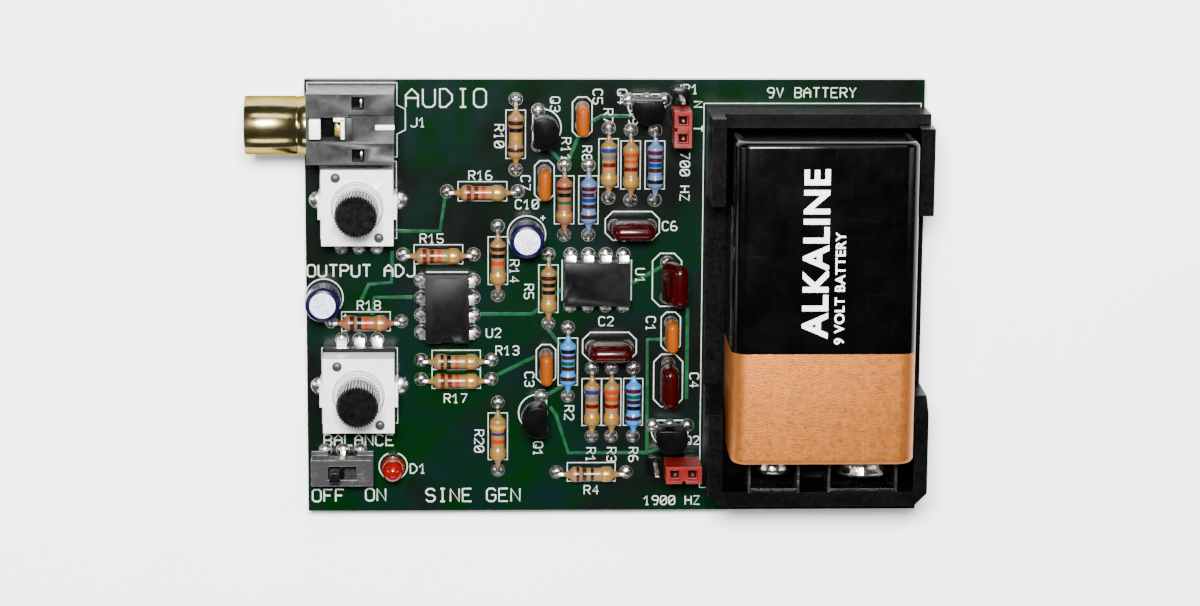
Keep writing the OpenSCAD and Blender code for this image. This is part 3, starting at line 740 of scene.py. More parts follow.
def makeCan(node):
    look = canLook
    r, h, disc = look["radius"], look["height"], look["disc"]
    wall = [1.75 + look["dash"] * i for i in range(int((h - 2.4) / look["dash"]) + 1)]
    # the rolled foot with its groove, the wall, and the rim round the sunk disc
    profile = [(0, 0.35), (2.1, 0.3), (r - 0.12, 0.38), (r, 0.62), (r, 1.1), (r - 0.22, 1.3),
               (r - 0.26, 1.42), (r - 0.2, 1.54)]
    profile += [(r, z) for z in wall]
    profile += [(r, h - 0.45), (r - 0.08, h - 0.2), (r - 0.26, h - 0.06), (r - 0.5, h), (disc, h - 0.1),
                (disc, h - 0.22), (disc * 0.7, h - 0.2), (0, h - 0.2)]
    part = spun(profile, look["segments"])
    for face in part.faces:
        at = face.calc_center_median() / mm
        turn = math.degrees(math.atan2(at.y, at.x)) % 360
        away = abs(turn - look["stripe"])
        if at.z > h - 0.3 and math.hypot(at.x, at.y) < disc:
            face.material_index = 2
        elif 0.6 < at.z < h - 0.3 and away < look["stripeHalf"]:
            dash = away < look["stripeHalf"] / 3 and int((at.z - 1.75) / look["dash"]) % 2 == 0
            face.material_index = 0 if dash else 1
    # vent score: a cross pressed into the aluminium
    half = look["score"] * mm
    for axis in ((1, 0, 0), (0, 1, 0)):
        for side in (-1, 1):
            discFaces = [f for f in part.faces if f.material_index == 2 and len(f.verts) > 2]
            around = set(v for f in discFaces for v in f.verts) | set(e for f in discFaces for e in f.edges)
            bmesh.ops.bisect_plane(part, geom=list(around) + discFaces, plane_no=axis,
                                   plane_co=[c * side * half for c in axis])
    reach = disc * 0.72 * mm
    strip = [f for f in part.faces if f.material_index == 2
             and min(abs(f.calc_center_median().x), abs(f.calc_center_median().y)) < half
             and f.calc_center_median().xy.length < reach]
    bmesh.ops.inset_region(part, faces=strip, thickness=0.03 * mm, depth=-0.12 * mm, use_even_offset=True)
    bm = bmesh.new()
    joined(bm, part, onBoard(middle(node)))
    leadsDown(bm, node, 0.5, 3)
    finished("body_" + node, bm, canFinish, "board", [node], 40)


for name in ("capacitor_c9", "capacitor_c10"):
    makeCan(name)
print("cans ready")

transistorLook = {"radius": 2.35, "flat": 1.35, "lift": 2.0, "height": 4.7, "draft": 0.98, "edge": 0.16,
                  "inner": 1.27, "outer": 2.54, "legX": 0.6, "mark": -0.55,
                  "turns": {"transistor_q1": 0, "transistor_q2": 90,
                            "transistor_q3": 180, "transistor_q4": 90}}


def makeTransistor(node, turn):
    look = transistorLook
    case = bmesh.new()
    bmesh.ops.create_circle(case, cap_ends=True, radius=look["radius"] * mm, segments=48)
    bmesh.ops.bisect_plane(case, geom=case.verts[:] + case.edges[:] + case.faces[:],
                           plane_co=(look["flat"] * mm, 0, 0), plane_no=(1, 0, 0), clear_outer=True)
    raised(case, case.faces[:], look["height"], look["draft"])
    sharp = [e for e in case.edges if len(e.link_faces) == 2 and e.calc_face_angle() > 0.6]
    rolled(case, sharp, look["edge"], 3)
    # an ejector mark on the top, off its middle
    mark = spun([(0, -0.1), (0.62, -0.1), (0.62, 0.012), (0.5, 0.02), (0.46, -0.02), (0, -0.02)], 24)
    # the D's box is off the case's own middle by half of what the flat cuts away
    place = onBoard(middle(node), turn) @ Matrix.Translation(((look["radius"] - look["flat"]) / 2 * mm, 0, 0))
    bm = bmesh.new()
    joined(bm, case, place @ Matrix.Translation((0, 0, look["lift"] * mm)), 0)
    top = look["lift"] + look["height"]
    joined(bm, mark, place @ Matrix.Translation(Vector((look["mark"], 0, top)) * mm), 0)
    for side in (-1, 0, 1):
        bends = [(look["inner"], look["lift"] + 0.3), (look["inner"], look["lift"] - 0.35),
                 (look["outer"] - 0.15, 1.0), (look["outer"], 0.5), (look["outer"], tailEnd)]
        joined(bm, wire([(look["legX"], side * y, z) for y, z in bends], 0.26), place, 1)
    finished("body_" + node, bm, [mouldedBlack, tinned], "board", [node], 40)


for name, turn in transistorLook["turns"].items():
    makeTransistor(name, turn)

chipFinish = [
    finish("chip_epoxy", {
        "tone": (0.0016, 0.0016, 0.0018), "other": 0.0034, "cloud": 1.2, "rough": 0.3,
        "roughVary": 0.1, "grain": 0.12, "relief": 0.4, "dust": 0.006, "scuffs": 0.15, "scuffTone": 0.01,
        "edges": 0.12, "edgeLighten": 0.25, "specular": 0.06}),
    tinned]


def makeChip(node):
    place = seating(node)
    home = place.inverted()

    def sortFaces(bm):
        for face in bm.faces:
            at = (home @ face.calc_center_median()) / mm
            face.material_index = 1 if abs(at.y) > 3.16 or at.z < 0.46 else 0
        bmesh.ops.triangulate(bm, faces=[f for f in bm.faces if len(f.verts) > 6])

    softened(node, "body_" + node, chipFinish, 0.1, sortFaces)


for name in ("chip_u1", "chip_u2"):
    makeChip(name)
print("semiconductors ready")

lampLook = {"radius": 1.5, "flange": 1.68, "flat": 1.52, "lift": 0.3, "dome": 2.9}


def makeLamp():
    look = lampLook
    r, lift, dome = look["radius"], look["lift"], look["dome"]
    profile = [(0, lift + 0.2), (r, lift + 0.2), (r, lift + 1.0)]
    profile += [(r * math.cos(math.radians(a)), lift + dome + r * math.sin(math.radians(a)))
                for a in range(0, 91, 9)]
    flange = spun([(0, lift), (look["flange"] - 0.1, lift), (look["flange"], lift + 0.12),
                   (look["flange"], lift + 0.82), (look["flange"] - 0.14, lift + 0.98), (0, lift + 1.0)], 48)
    bmesh.ops.bisect_plane(flange, geom=flange.verts[:] + flange.edges[:] + flange.faces[:],
                           plane_co=(0, look["flat"] * mm, 0), plane_no=(0, 1, 0), clear_outer=True)
    bmesh.ops.contextual_create(flange, geom=[e for e in flange.edges if e.is_boundary])
    bm = bmesh.new()
    place = onBoard(middle("indicator_led"))
    joined(bm, spun(profile, 48), place, 0)
    joined(bm, flange, place, 0)
    leadsDown(bm, "indicator_led", 0.5, 1)
    red = finish("lamp_red", {
        "tone": (0.13, 0.0, 0.0), "other": (0.08, 0.0, 0.0), "cloud": 1.6, "vary": 0.5, "rough": 0.1,
        "grain": 0.8, "relief": 0.05,
        "specular": 0.2, "coat": 0.15})
    finished("lamp_lens", bm, [red, tinned], "board", ["indicator_led"], 40)


makeLamp()

jackBlack = finish("jack_plastic", {
    "tone": (0.007, 0.007, 0.0072), "other": 0.018, "cloud": 1.6, "vary": 0.8, "rough": 0.3,
    "roughVary": 0.14, "grain": 0.16, "relief": 0.4, "dust": 0.015, "scuffs": 0.6, "spacing": 1.3,
    "scuffTone": 0.045, "edges": 0.25, "edgeLighten": 0.5, "edgeTone": 0.06,
    "specular": 0.12})
goldPlate = finish("gold_plate", {
    "tone": (0.3, 0.25, 0.11), "other": (0.2, 0.15, 0.05), "cloud": 3.5, "rough": 0.13, "roughVary": 0.08,
    "grain": 0.3, "relief": 0.1, "scuffs": 0.3, "scuffTone": (0.8, 0.72, 0.5),
    "metallic": 1.0, "tint": (0.3, 0.26, 0.14, 1)})
brass = finish("contact_brass", {
    "tone": (0.72, 0.5, 0.16), "other": (0.45, 0.27, 0.08), "cloud": 0.9, "rough": 0.2, "grain": 0.3,
    "metallic": 1.0})
insertWhite = finish("insert_white", {
    "tone": (0.78, 0.77, 0.73), "other": (0.62, 0.6, 0.54), "cloud": 1.4, "vary": 0.5, "rough": 0.34,
    "grain": 0.15, "relief": 0.3, "dust": 0.25})


def lowFaces(height, material=1):
    # gives everything under a height above the board another material, such as solder tabs
    def sort(bm):
        for face in bm.faces:
            if (face.calc_center_median().z - boardTop) / mm < height:
                face.material_index = material
    return sort


insertLook = {"bar": (1.6, 2.8), "well": 1.8, "bracket": (1.6, 2.9), "wall": 0.55, "rib": (2.7, 0.7),
              "ribAt": (10.6, 0.25), "length": 6.1, "width": 3.3, "spring": (1.0, 1.9)}


def makeInsert():
    # a bar in front, an open well, a bracket round the spring, and a rib behind
    look = insertLook
    low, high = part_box("jack_insert")
    home = placed(Vector((low.x, (low.y + high.y) / 2, boardTop)))
    top = (high.z - boardTop) / mm
    deep = (high.z - low.z) / mm
    bar, bracket, rib = look["bar"], look["bracket"], look["rib"]
    at = bar[0] + look["well"] + bracket[0] / 2
    rest = look["length"] - at - bracket[0] / 2
    long, wide, floor = look["length"], look["width"], top - deep
    bm = bmesh.new()
    joined(bm, block((*bar, deep), (bar[0] / 2, 0, floor), 0.14), home, 0)
    joined(bm, block((look["wall"], bracket[1], deep - 0.1), (at + bracket[0] / 2 - 0.3, 0, floor), 0.12),
           home, 0)
    joined(bm, block((bracket[0], 0.6, deep - 0.1), (at, bracket[1] / 2 - 0.1, floor), 0.12), home, 0)
    joined(bm, block((*rib, 0.5), (*look["ribAt"], top - 0.75), 0.08), home, 0)
    # black plastic behind the bracket, a thin very dark floor that is painted shade at the bottom of the open
    # well, and the spring's bent end
    joined(bm, block((rest, wide, deep - 0.15), (long - rest / 2, 0, floor), 0.1), home, 3)
    # the floor sheet: painted shade down the well
    joined(bm, block((long, wide, 0.25), (long / 2, 0, floor - 0.1), 0), home, 1)
    joined(bm, block((*look["spring"], deep - 0.5), (at - 0.2, -0.3, floor), 0.3, 3), home, 2)
    finished("jack_insulator", bm, [insertWhite, mouldedBlack, brass, jackBlack], "board",
             ["jack_insert"], 40)


def makeTips():
    # sprung ends of the two side contacts, in the slots of the housing, each over a thin black sheet that is
    # painted shade at the bottom of its slot
    low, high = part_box("jack_housing")
    x = high.x / mm - 4.55
    y = (low.y + high.y) / 2 / mm
    top = (high.z - boardTop) / mm
    bm = bmesh.new()
    for side in (-1, 1):
        joined(bm, block((0.35, 1.2, 1.3), (x, y + side * 3.7, top - 1.5), 0.12),
               placed(Vector((0, 0, boardTop))), 0)
        # a thin black square under the tip: painted shade in the slot
        joined(bm, block((1.78, 1.78, 0.1), (x - 0.45, y + side * 3.7, top - 1.6), 0),
               placed(Vector((0, 0, boardTop))), 1)
    finished("jack_contact_tips", bm, [tinned, mouldedBlack], "board", smooth=40)


def makeJack():
    softened("jack_housing", "jack_body", [jackBlack, tinned], 0.16, lowFaces(0.26))
    makeInsert()
    softened("jack_centre_contact", "jack_inner_contact", [brass], 0.06)
    makeTips()
    low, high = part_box("jack_barrel")
    length = (high.x - low.x) / mm
    r = (high.z - low.z) / mm / 2
    lip = [(r - 0.43, 0.3), (r - 0.4, 0.12), (r - 0.3, 0.02), (r - 0.18, 0), (r - 0.05, 0.06), (r, 0.2)]
    shoulder = [(r, length - 1.5), (r - 0.1, length - 1.38), (r - 0.1, length - 1.1), (r, length - 0.98),
                (r, length), (r - 0.43, length), (r - 0.43, 0.3)]
    along = Matrix.Translation((low.x, (low.y + high.y) / 2, (low.z + high.z) / 2)) \
        @ Matrix.Rotation(math.pi / 2, 4, "Y")
    bm = bmesh.new()
    joined(bm, spun(lip + shoulder, 72), along)
    finished("phono_barrel", bm, [goldPlate], "board", ["jack_barrel"], 45)


makeJack()
print("jack ready")

potLook = {"teeth": 40, "tooth": 0.17, "rings": (3.52, 3.3), "ringHeight": 0.1, "grooveShades": (3.43, 3.05),
           "foot": 3.68, "disc": 3.68, "rivet": 0.66,
           "shaft": 3.0, "neck": 2.6, "chamfer": 0.3, "lug": 1.4, "bushing": 1.3}
coverSteel = finish("nickel_cover", {
    "tone": 0.6, "other": 0.42, "cloud": 2.2, "rough": 0.42, "roughVary": 0.14,
    "grain": 0.3, "along": 0.3, "relief": 0.3, "scuffs": 0.4, "spacing": 1.2, "scuffTone": (0.5, 0.5, 0.49),
    "dust": 0.03, "metallic": 0.25})
# dark metal for the rivets and the pointer bar, also used as the painted shade of the bushing grooves
rivetAndGrooveShade = finish("dark_rivet_and_groove_shade", {
    "tone": (0.03, 0.03, 0.031), "other": 0.008, "cloud": 0.5, "rough": 0.34, "grain": 0.25,
    "relief": 0.5, "metallic": 0.4})
shaftPlastic = finish("shaft_plastic", {
    "tone": 0.001, "other": 0.003, "cloud": 0.8, "rough": 0.2, "roughVary": 0.1,
    "grain": 0.22, "relief": 0.4, "dust": 0.003, "edges": 0.08, "edgeLighten": 0.3, "edgeTone": 0.02,
    "specular": 0.08})
# pale metal for the outer faces of the black plastic teeth: painted highlight along the serrations
toothHighlight = finish("serration_painted_highlight", {
    "tone": 0.3, "other": 0.1, "cloud": 0.5, "rough": 0.22, "roughVary": 0.16,
    "grain": 0.25, "relief": 0.5, "metallic": 0.7})


def makePot(label, body):
    look = potLook
    shaftLow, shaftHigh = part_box(label + "_shaft")
    axis = placed(Vector(((shaftLow.x + shaftHigh.x) / 2, (shaftLow.y + shaftHigh.y) / 2, boardTop)))
    home = axis.inverted()
    coverTop = (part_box(label + "_cover")[1].z - boardTop) / mm
    pan = coverTop - look["bushing"]

    def baseFaces(bm):
        for face in bm.faces:
            at = (home @ face.calc_center_median()) / mm
            face.material_index = 2 if at.z > 4.9 else 1 if abs(at.y) > 6.02 else 0
        # domed heads over the two rivets
        rivets = [face.calc_center_median() for face in bm.faces
                  if face.material_index == 2 and face.normal.z > 0.9]
        for at in rivets:
            head = spun([(0, 0.1), (look["rivet"] * 0.5, 0.08), (look["rivet"] * 0.9, -0.02),
                         (look["rivet"], -0.12), (look["rivet"], -0.2), (0, -0.2)], 24)
            joined(bm, head, Matrix.Translation(at), 2)

    def coverRings(bm):
        # fine rings turned into the top of the bushing, with thin dark rings laid beside them: painted shade
        # standing in for grooves
        for r, height in [(r, coverTop) for r in look["grooveShades"]] + [(look["foot"], pan)]:
            # a flat dark band just over the surface: painted shade where a groove would be
            groove = [(r - 0.06, -0.05), (r - 0.06, 0), (r + 0.06, 0), (r + 0.06, -0.05), (r - 0.06, -0.05)]
            joined(bm, spun(groove, 64), axis @ Matrix.Translation((0, 0, (height + 0.015) * mm)), 1)
        for r in look["rings"]:
            ridge = [(r - 0.1, -0.05), (r - 0.1, 0.04), (r - 0.04, look["ringHeight"]), (r + 0.02, 0.04),
                     (r + 0.02, -0.05), (r - 0.1, -0.05)]
            joined(bm, spun(ridge, 64), axis @ Matrix.Translation((0, 0, (coverTop - 0.04) * mm)), 0)

    softened(label + "_base", label + "_housing", [mouldedBlack, tinned, rivetAndGrooveShade], 0.1,
             baseFaces)
    softened(label + "_cover", label + "_shell", [coverSteel, rivetAndGrooveShade], 0.18,
             coverRings, segments=3)
    lugs = bmesh.new()
    low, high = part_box(label + "_cover")
    half = (high.x - low.x) / 2
    lug = [(0, 0.62), (0.5, 0.55), (1.05, 0.34), (look["lug"], 0.04), (look["lug"], -0.02), (0, -0.02)]
    for side in (-1, 1):
        joined(lugs, spun(lug, 28), axis @ Matrix.Translation((side * (half - 0.1 * mm), 0, 0)), 0)
    finished(label + "_lugs", lugs, [solderMetal], "board", smooth=50)
    # serrated shaft: every second corner of a ring drawn in, then pulled up and chamfered
    bottom = (shaftLow.z - boardTop) / mm
    top = (shaftHigh.z - boardTop) / mm
    start = coverTop + 0.12
    bm = bmesh.new()
    joined(bm, spun([(0, bottom), (look["disc"], bottom), (look["disc"], bottom + 1.18),
                     (look["neck"], bottom + 1.2), (look["neck"], start + 0.1), (0, start + 0.1)], 48), axis, 0)
    shaft = bmesh.new()
    bmesh.ops.create_circle(shaft, cap_ends=True, radius=look["shaft"] * mm, segments=look["teeth"] * 4)
    inner = [v for i, v in enumerate(sorted(shaft.verts, key=lambda v: math.atan2(v.co.y, v.co.x)))
             if i % 4 in (2, 3)]
    shrink = 1 - look["tooth"] / look["shaft"]
    bmesh.ops.scale(shaft, vec=(shrink, shrink, 1), verts=inner)
    for lift, taper in ((top - look["chamfer"] - start, 1), (look["chamfer"], 0.93)):
        end = max(shaft.faces, key=lambda f: f.calc_area() * (1 + f.calc_center_median().z / mm))
        raised(shaft, [end], lift, taper)
    # the end is sunk a little inside its rim
    end = max(shaft.faces, key=lambda f: f.calc_center_median().z * f.calc_area())
    bmesh.ops.inset_region(shaft, faces=[end], thickness=0.3 * mm, depth=-0.12 * mm)
    # the outer tooth faces take the pale metal as a painted highlight; the rest stays black plastic
    for face in shaft.faces:
        upright = abs(face.normal.z) < 0.3 and face.calc_center_median().xy.length > 2.94 * mm
        face.material_index = 2 if upright else 0
    joined(bm, shaft, axis @ Matrix.Translation((0, 0, start * mm)))
    # pointer notch: a dark bar let into the end
    pointer = block((1.0, 0.55, 0.12), (2.1, 0, top - 0.2), 0.05)
    joined(bm, pointer, axis @ Matrix.Rotation(math.radians(-40), 4, "Z"), 1)
    finished(label + "_spindle", bm, [shaftPlastic, rivetAndGrooveShade, toothHighlight], body,
             [label + "_shaft"], 28)


makePot("output_pot", "output_shaft")
makePot("balance_pot", "balance_shaft")
print("potentiometers ready")

switchLook = {"knob": (1.5, 1.6), "ridges": 3, "ridge": 0.16, "ridgePitch": 0.45, "pins": 3.3}
switchSteel = finish("switch_steel", {
    "tone": (0.03, 0.03, 0.031), "other": (0.014, 0.014, 0.015), "cloud": 1.4,
    "rough": 0.32, "roughVary": 0.16,
    "grain": 0.3, "along": 0.25, "relief": 0.5, "scuffs": 0.5, "scuffTone": 0.16,
    "edges": 0.2, "edgeLighten": 0.9, "edgeTone": 0.3, "metallic": 0.5, "specular": 0.15})


def makeSwitch():
    low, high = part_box("switch_base")
    rear = low.y + switchLook["pins"] * mm

    def pinFaces(bm):
        for face in bm.faces:
            at = face.calc_center_median()
            face.material_index = 1 if at.y > rear or at.z < boardTop + 0.25 * mm else 0

    softened("switch_base", "switch_tray", [jackBlack, tinned], 0.08, pinFaces)
    softened("switch_frame", "switch_shell", [switchSteel], 0.14, segments=3)
    low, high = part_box("switch_slider")
    size = (high - low) / mm
    base = (low.z - boardTop) / mm
    knobX, knobY = switchLook["knob"]
    at = onBoard((low + high) / 2)
    bm = bmesh.new()
    knob = block((knobX, knobY, size.z - switchLook["ridge"]), (0, 0, base), 0.14, 3)
    joined(bm, knob, at, 0)
    joined(bm, block((size.x, size.y, 1.2), (0, 0, base + 0.8), 0.12), at, 0)
    for i in range(switchLook["ridges"]):
        x = (i - (switchLook["ridges"] - 1) / 2) * switchLook["ridgePitch"]
        joined(bm, block((0.22, knobY * 0.86, 0.3), (x, 0, base + size.z - 0.3), 0.08), at, 0)
    finished("switch_knob", bm, [shaftPlastic], "slider", ["switch_slider"], 40)


makeSwitch()
print("switch ready")

headerLook = {"pitch": 2.54, "width": 2.5, "height": 2.4, "chamfer": 0.4, "pin": 0.6,
              "turns": {"jp1": 270, "jp2": 0}}
shuntRed = finish("shunt_red", {
    "tone": (0.11, 0.003, 0.002), "other": (0.06, 0.001, 0.001), "cloud": 1.0, "rough": 0.34, "grain": 0.14,
    "relief": 0.5, "dust": 0.006, "scuffs": 0.3, "scuffTone": (0.25, 0.04, 0.03), "edges": 0.14, "edgeLighten": 0.5,
    "edgeTone": (0.3, 0.05, 0.035), "specular": 0.2})
pinMetal = finish("header_pin", {
    "tone": (0.74, 0.7, 0.58), "other": (0.5, 0.44, 0.3), "cloud": 0.6, "rough": 0.16, "grain": 0.3,
    "metallic": 1.0})


def isLevel(edge):
    return abs(edge.verts[0].co.z - edge.verts[1].co.z) < 0.1 * mm


def makeHeader(label, turn):
    look = headerLook
    low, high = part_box("header_" + label)
    place = onBoard((low + high) / 2, turn)
    pinTop = (high.z - boardTop) / mm
    bm = bmesh.new()
    for i in (-1, 0, 1):
        x = i * look["pitch"]
        part = block((look["pitch"], look["width"], look["height"]), (x, 0, 0), 0)
        rolled(part, [e for e in part.edges if not isLevel(e)], look["chamfer"], 1)
        rolled(part, [e for e in part.edges if isLevel(e)], 0.08)
        joined(bm, part, place, 0)
        pin = block((look["pin"], look["pin"], pinTop - tailEnd), (x, 0, tailEnd), 0)
        rolled(pin, [e for e in pin.edges if isLevel(e)], 0.16, 1)
        joined(bm, pin, place, 1)
    finished(label + "_header", bm, [mouldedBlack, pinMetal], "board", ["header_" + label], 30)


for label, turn in headerLook["turns"].items():
    makeHeader(label, turn)
softened("shunt_jp1", "jp1_shunt", [shuntRed], 0.13)
softened("shunt_jp2", "jp2_shunt", [shuntRed], 0.13)
print("jumpers ready")

holderPlastic = finish("holder_plastic", {
    "tone": 0.0004, "other": 0.0014, "cloud": 0.7, "vary": 0.9, "rough": 0.3,
    "roughVary": 0.1, "grain": 0.3, "relief": 0.5, "dust": 0.006, "scuffs": 0.2, "spacing": 2.5,
    "scuffTone": 0.006, "edges": 0.35, "edgeLighten": 0.4, "edgeTone": 0.006,
    "specular": 0.03})
springMetal = finish("spring_metal", {
    "tone": 0.09, "other": 0.04, "cloud": 1.3, "rough": 0.2, "roughVary": 0.16,
    "grain": 0.4, "along": 0.3, "relief": 0.35, "scuffs": 0.4, "metallic": 1.0})
softened("battery_holder", "holder_frame", [holderPlastic], 0.32, segments=3)
softened("holder_contacts", "holder_clips", [springMetal], 0.1)
softened("rubber_feet", "stick_on_feet", [finish("foot_rubber", {
    "tone": 0.03, "other": 0.06, "rough": 0.6, "grain": 0.2, "dust": 0.5})],
    0.3, segments=3)

batteryLook = {"corner": 2.4, "edge": 0.9, "rim": 0.55, "sink": 0.45, "split": 16.1,
               "black": {"tone": 0.0001, "other": 0.0003, "cloud": 6.0,
                         "rough": 0.13, "roughVary": 0.06, "grain": 2.6, "relief": 0.2, "dust": 0.003,
                         "scuffs": 0.1, "spacing": 3.0, "scuffTone": 0.006,
                         "specular": 0.15},
               "bronze": {"tone": (0.34, 0.12, 0.022), "other": (0.38, 0.085, 0.01), "cloud": 0.9,
                          "rough": 0.36, "roughVary": 0.14, "grain": 0.14, "along": 0.2, "relief": 0.7,
                          "dust": 0.02, "scuffs": 0.3, "spacing": 1.5, "scuffTone": (0.5, 0.2, 0.06),
                          "metallic": 0.9}}


def makeBattery():
    # the jacket as rounded outlines along Y, rolled over each end round a sunk plate
    look = batteryLook
    low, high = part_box("battery_case")
    size = (high - low) / mm
    edge, rim, sink = look["edge"], look["rim"], look["sink"]
    arc = [math.radians(turn) for turn in range(0, 91, 15)]
    roll = [(edge - edge * math.sin(turn), edge - edge * math.cos(turn)) for turn in arc]
    # distance from the end, and how far the outline is drawn in
    front = [(sink, edge + rim + 0.3), (sink, edge + rim + 0.1), (0.08, edge + rim)]
    front += reversed(roll)
    stations = front + [(look["split"] - 0.05, 0), (look["split"], 0)]
    stations += [(size.y - y, i) for y, i in reversed(front)]
    case = bmesh.new()
    loops = []
    for y, inset in stations:
        half, tall, r = size.x / 2 - inset, size.z / 2 - inset, max(0.3, look["corner"] - inset)
        loop = []
        for cx, cz, start in ((1, 1, 0), (-1, 1, 90), (-1, -1, 180), (1, -1, 270)):
            for turn in arc:
                turn += math.radians(start)
                x = cx * (half - r) + r * math.cos(turn)
                z = size.z / 2 + cz * (tall - r) + r * math.sin(turn)
                loop.append(case.verts.new(Vector((x, y, z)) * mm))
        loops.append(loop)
    for number, (near, far) in enumerate(zip(loops, loops[1:])):
        sunk = number < 2 or number > len(loops) - 4
        bronze = stations[number][0] < look["split"] - 0.1
        for i in range(len(near)):
            face = case.faces.new((near[i - 1], near[i], far[i], far[i - 1]))
            face.material_index = 2 if sunk else 1 if bronze else 0
    for loop in (loops[0], loops[-1]):
        case.faces.new(loop).material_index = 2
    bm = bmesh.new()
    joined(bm, case, placed(Vector(((low.x + high.x) / 2, low.y, low.z))))
    jacket = [finish("jacket_" + name, look[name]) for name in ("black", "bronze")]
    finished("battery_jacket", bm, jacket + [mouldedBlack], "battery", ["battery_case"], 30)
    makeLabel(low, high)


labelLook = {"white": {"tone": (0.8, 0.8, 0.78), "other": (0.66, 0.66, 0.64), "cloud": 1.5, "rough": 0.3,
                       "dust": 0.1},
             "spacing": 1.1, "thick": 0.01, "lift": 0.012,
             # words, height, extra weight, and their middle across and along the case
             "words": [("ALKALINE", 4.9, 0.15, -1.3, 30.4), ("9 VOLT BATTERY", 1.9, 0.04, 2.0, 25.4)]}


def makeLabel(low, high):
    # plain printed words, set as flat text along the case
    look = labelLook
    bm = bmesh.new()
    for text, height, weight, x, y in look["words"]:
        curve = bpy.data.curves.new("words", "FONT")
        curve.body = text
        curve.align_x = "CENTER"
        curve.align_y = "CENTER"
        curve.size = height * mm
        curve.extrude = look["thick"] * mm
        curve.space_character = look["spacing"]
        curve.offset = weight * mm
        part = meshed(curve)
        at = Vector(((low.x + high.x) / 2 + x * mm, low.y + y * mm, high.z + look["lift"] * mm))
        part.transform(placed(at, 90))
        added(bm, part)
    white = finish("label_white", look["white"])
    finished("battery_label", bm, [white], "battery", smooth=30)


snapLook = {
    "apart": 12.7,
    "stud": [(0, -0.5), (3.4, -0.5), (3.4, 0.15), (3.1, 0.3), (2.55, 0.42), (2.45, 0.8), (2.6, 1.5),
             (2.84, 2.1), (2.84, 2.45), (2.6, 2.8), (2.1, 2.92), (1.2, 2.9), (0, 2.86)],
    "crown": [(0, -0.5), (4.1, -0.5), (4.1, 0.2), (3.8, 0.45), (3.62, 0.9), (3.7, 1.8), (4.08, 2.5),
              (4.08, 2.8), (3.85, 2.92), (3.5, 2.75), (3.1, 2.1), (3.0, 0.7), (2.6, 0.4), (0, 0.4)],
    "metal": {"tone": (0.3, 0.3, 0.29), "other": (0.12, 0.12, 0.115), "cloud": 0.9, "rough": 0.12,
              "roughVary": 0.14, "grain": 0.3, "scuffs": 0.5, "metallic": 1.0}}


def makeSnaps():
    # a snap stud, and a wider twelve-sided socket drawn in like a crown
    look = snapLook
    low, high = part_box("battery_terminals")
    crown = spun(look["crown"], 12)
    rolled(crown, [e for e in crown.edges if len(e.link_faces) == 2 and 0.45 < e.calc_face_angle() < 0.6], 0.12)
    bm = bmesh.new()
    for side, part in ((-1, spun(look["stud"], 40)), (1, crown)):
        at = Vector((middle("battery_case").x + side * look["apart"] / 2 * mm, high.y, (low.z + high.z) / 2))
        joined(bm, part, Matrix.Translation(at) @ Matrix.Rotation(math.pi / 2, 4, "X"), 0)
    finished("battery_snaps", bm, [finish("terminal_metal", look["metal"])], "battery",
             ["battery_terminals"], 35)


makeBattery()
makeSnaps()
print("battery ready")

# Letters as strokes on a grid 4 wide and 6 high, two digits to a point
glyphs = {
    "A": "0004264440 0343", "B": "00063645443303 3342413000", "C": "4536160501103041",
    "D": "00062644422000", "E": "46060040 0333", "F": "460600 0333", "G": "45361605011030414323",
    "H": "0006 4046 0343", "I": "1030 1636 2026", "J": "4641301001", "L": "060040", "N": "00064046",
    "O": "100105163645413010", "P": "00063645443303", "Q": "100105163645413010 2240",
    "R": "00063645443303 2340", "S": "453616050413334241301001", "T": "0646 2026", "U": "060110304146",
    "V": "062046", "W": "0610243046", "Y": "062346 2320", "Z": "06460040",
    "0": "100105163645413010 0145", "1": "042620 1030", "2": "05163645440040",
    "3": "05163645443313 334241301001", "4": "30360242", "5": "460603334241301001",
    "6": "361604011030414233 3303", "7": "064610", "8": "130405163645443313 1302011030414233",
    "9": "1030434536160504133343", "+": "2125 0343"}

legendLook = {"line": 0.17, "bold": 0.24, "advance": 5.6,
              "holder": [(57.15, 3.3), (88.4, 3.3), (88.4, 60.05), (57.15, 60.05)],
              "jack": [(0.4, 52.3), (13.2, 52.3), (13.2, 55.6), (14.4, 56.2), (14.4, 59.2), (13.2, 59.8),
                       (13.2, 63.0), (0.4, 63.0)],
              "ink": {"tone": (0.42, 0.45, 0.42), "other": (0.2, 0.24, 0.2), "cloud": 0.5, "vary": 0.7,
                      "rough": 0.45, "grain": 0.1, "relief": 0.4, "dust": 0.1}}
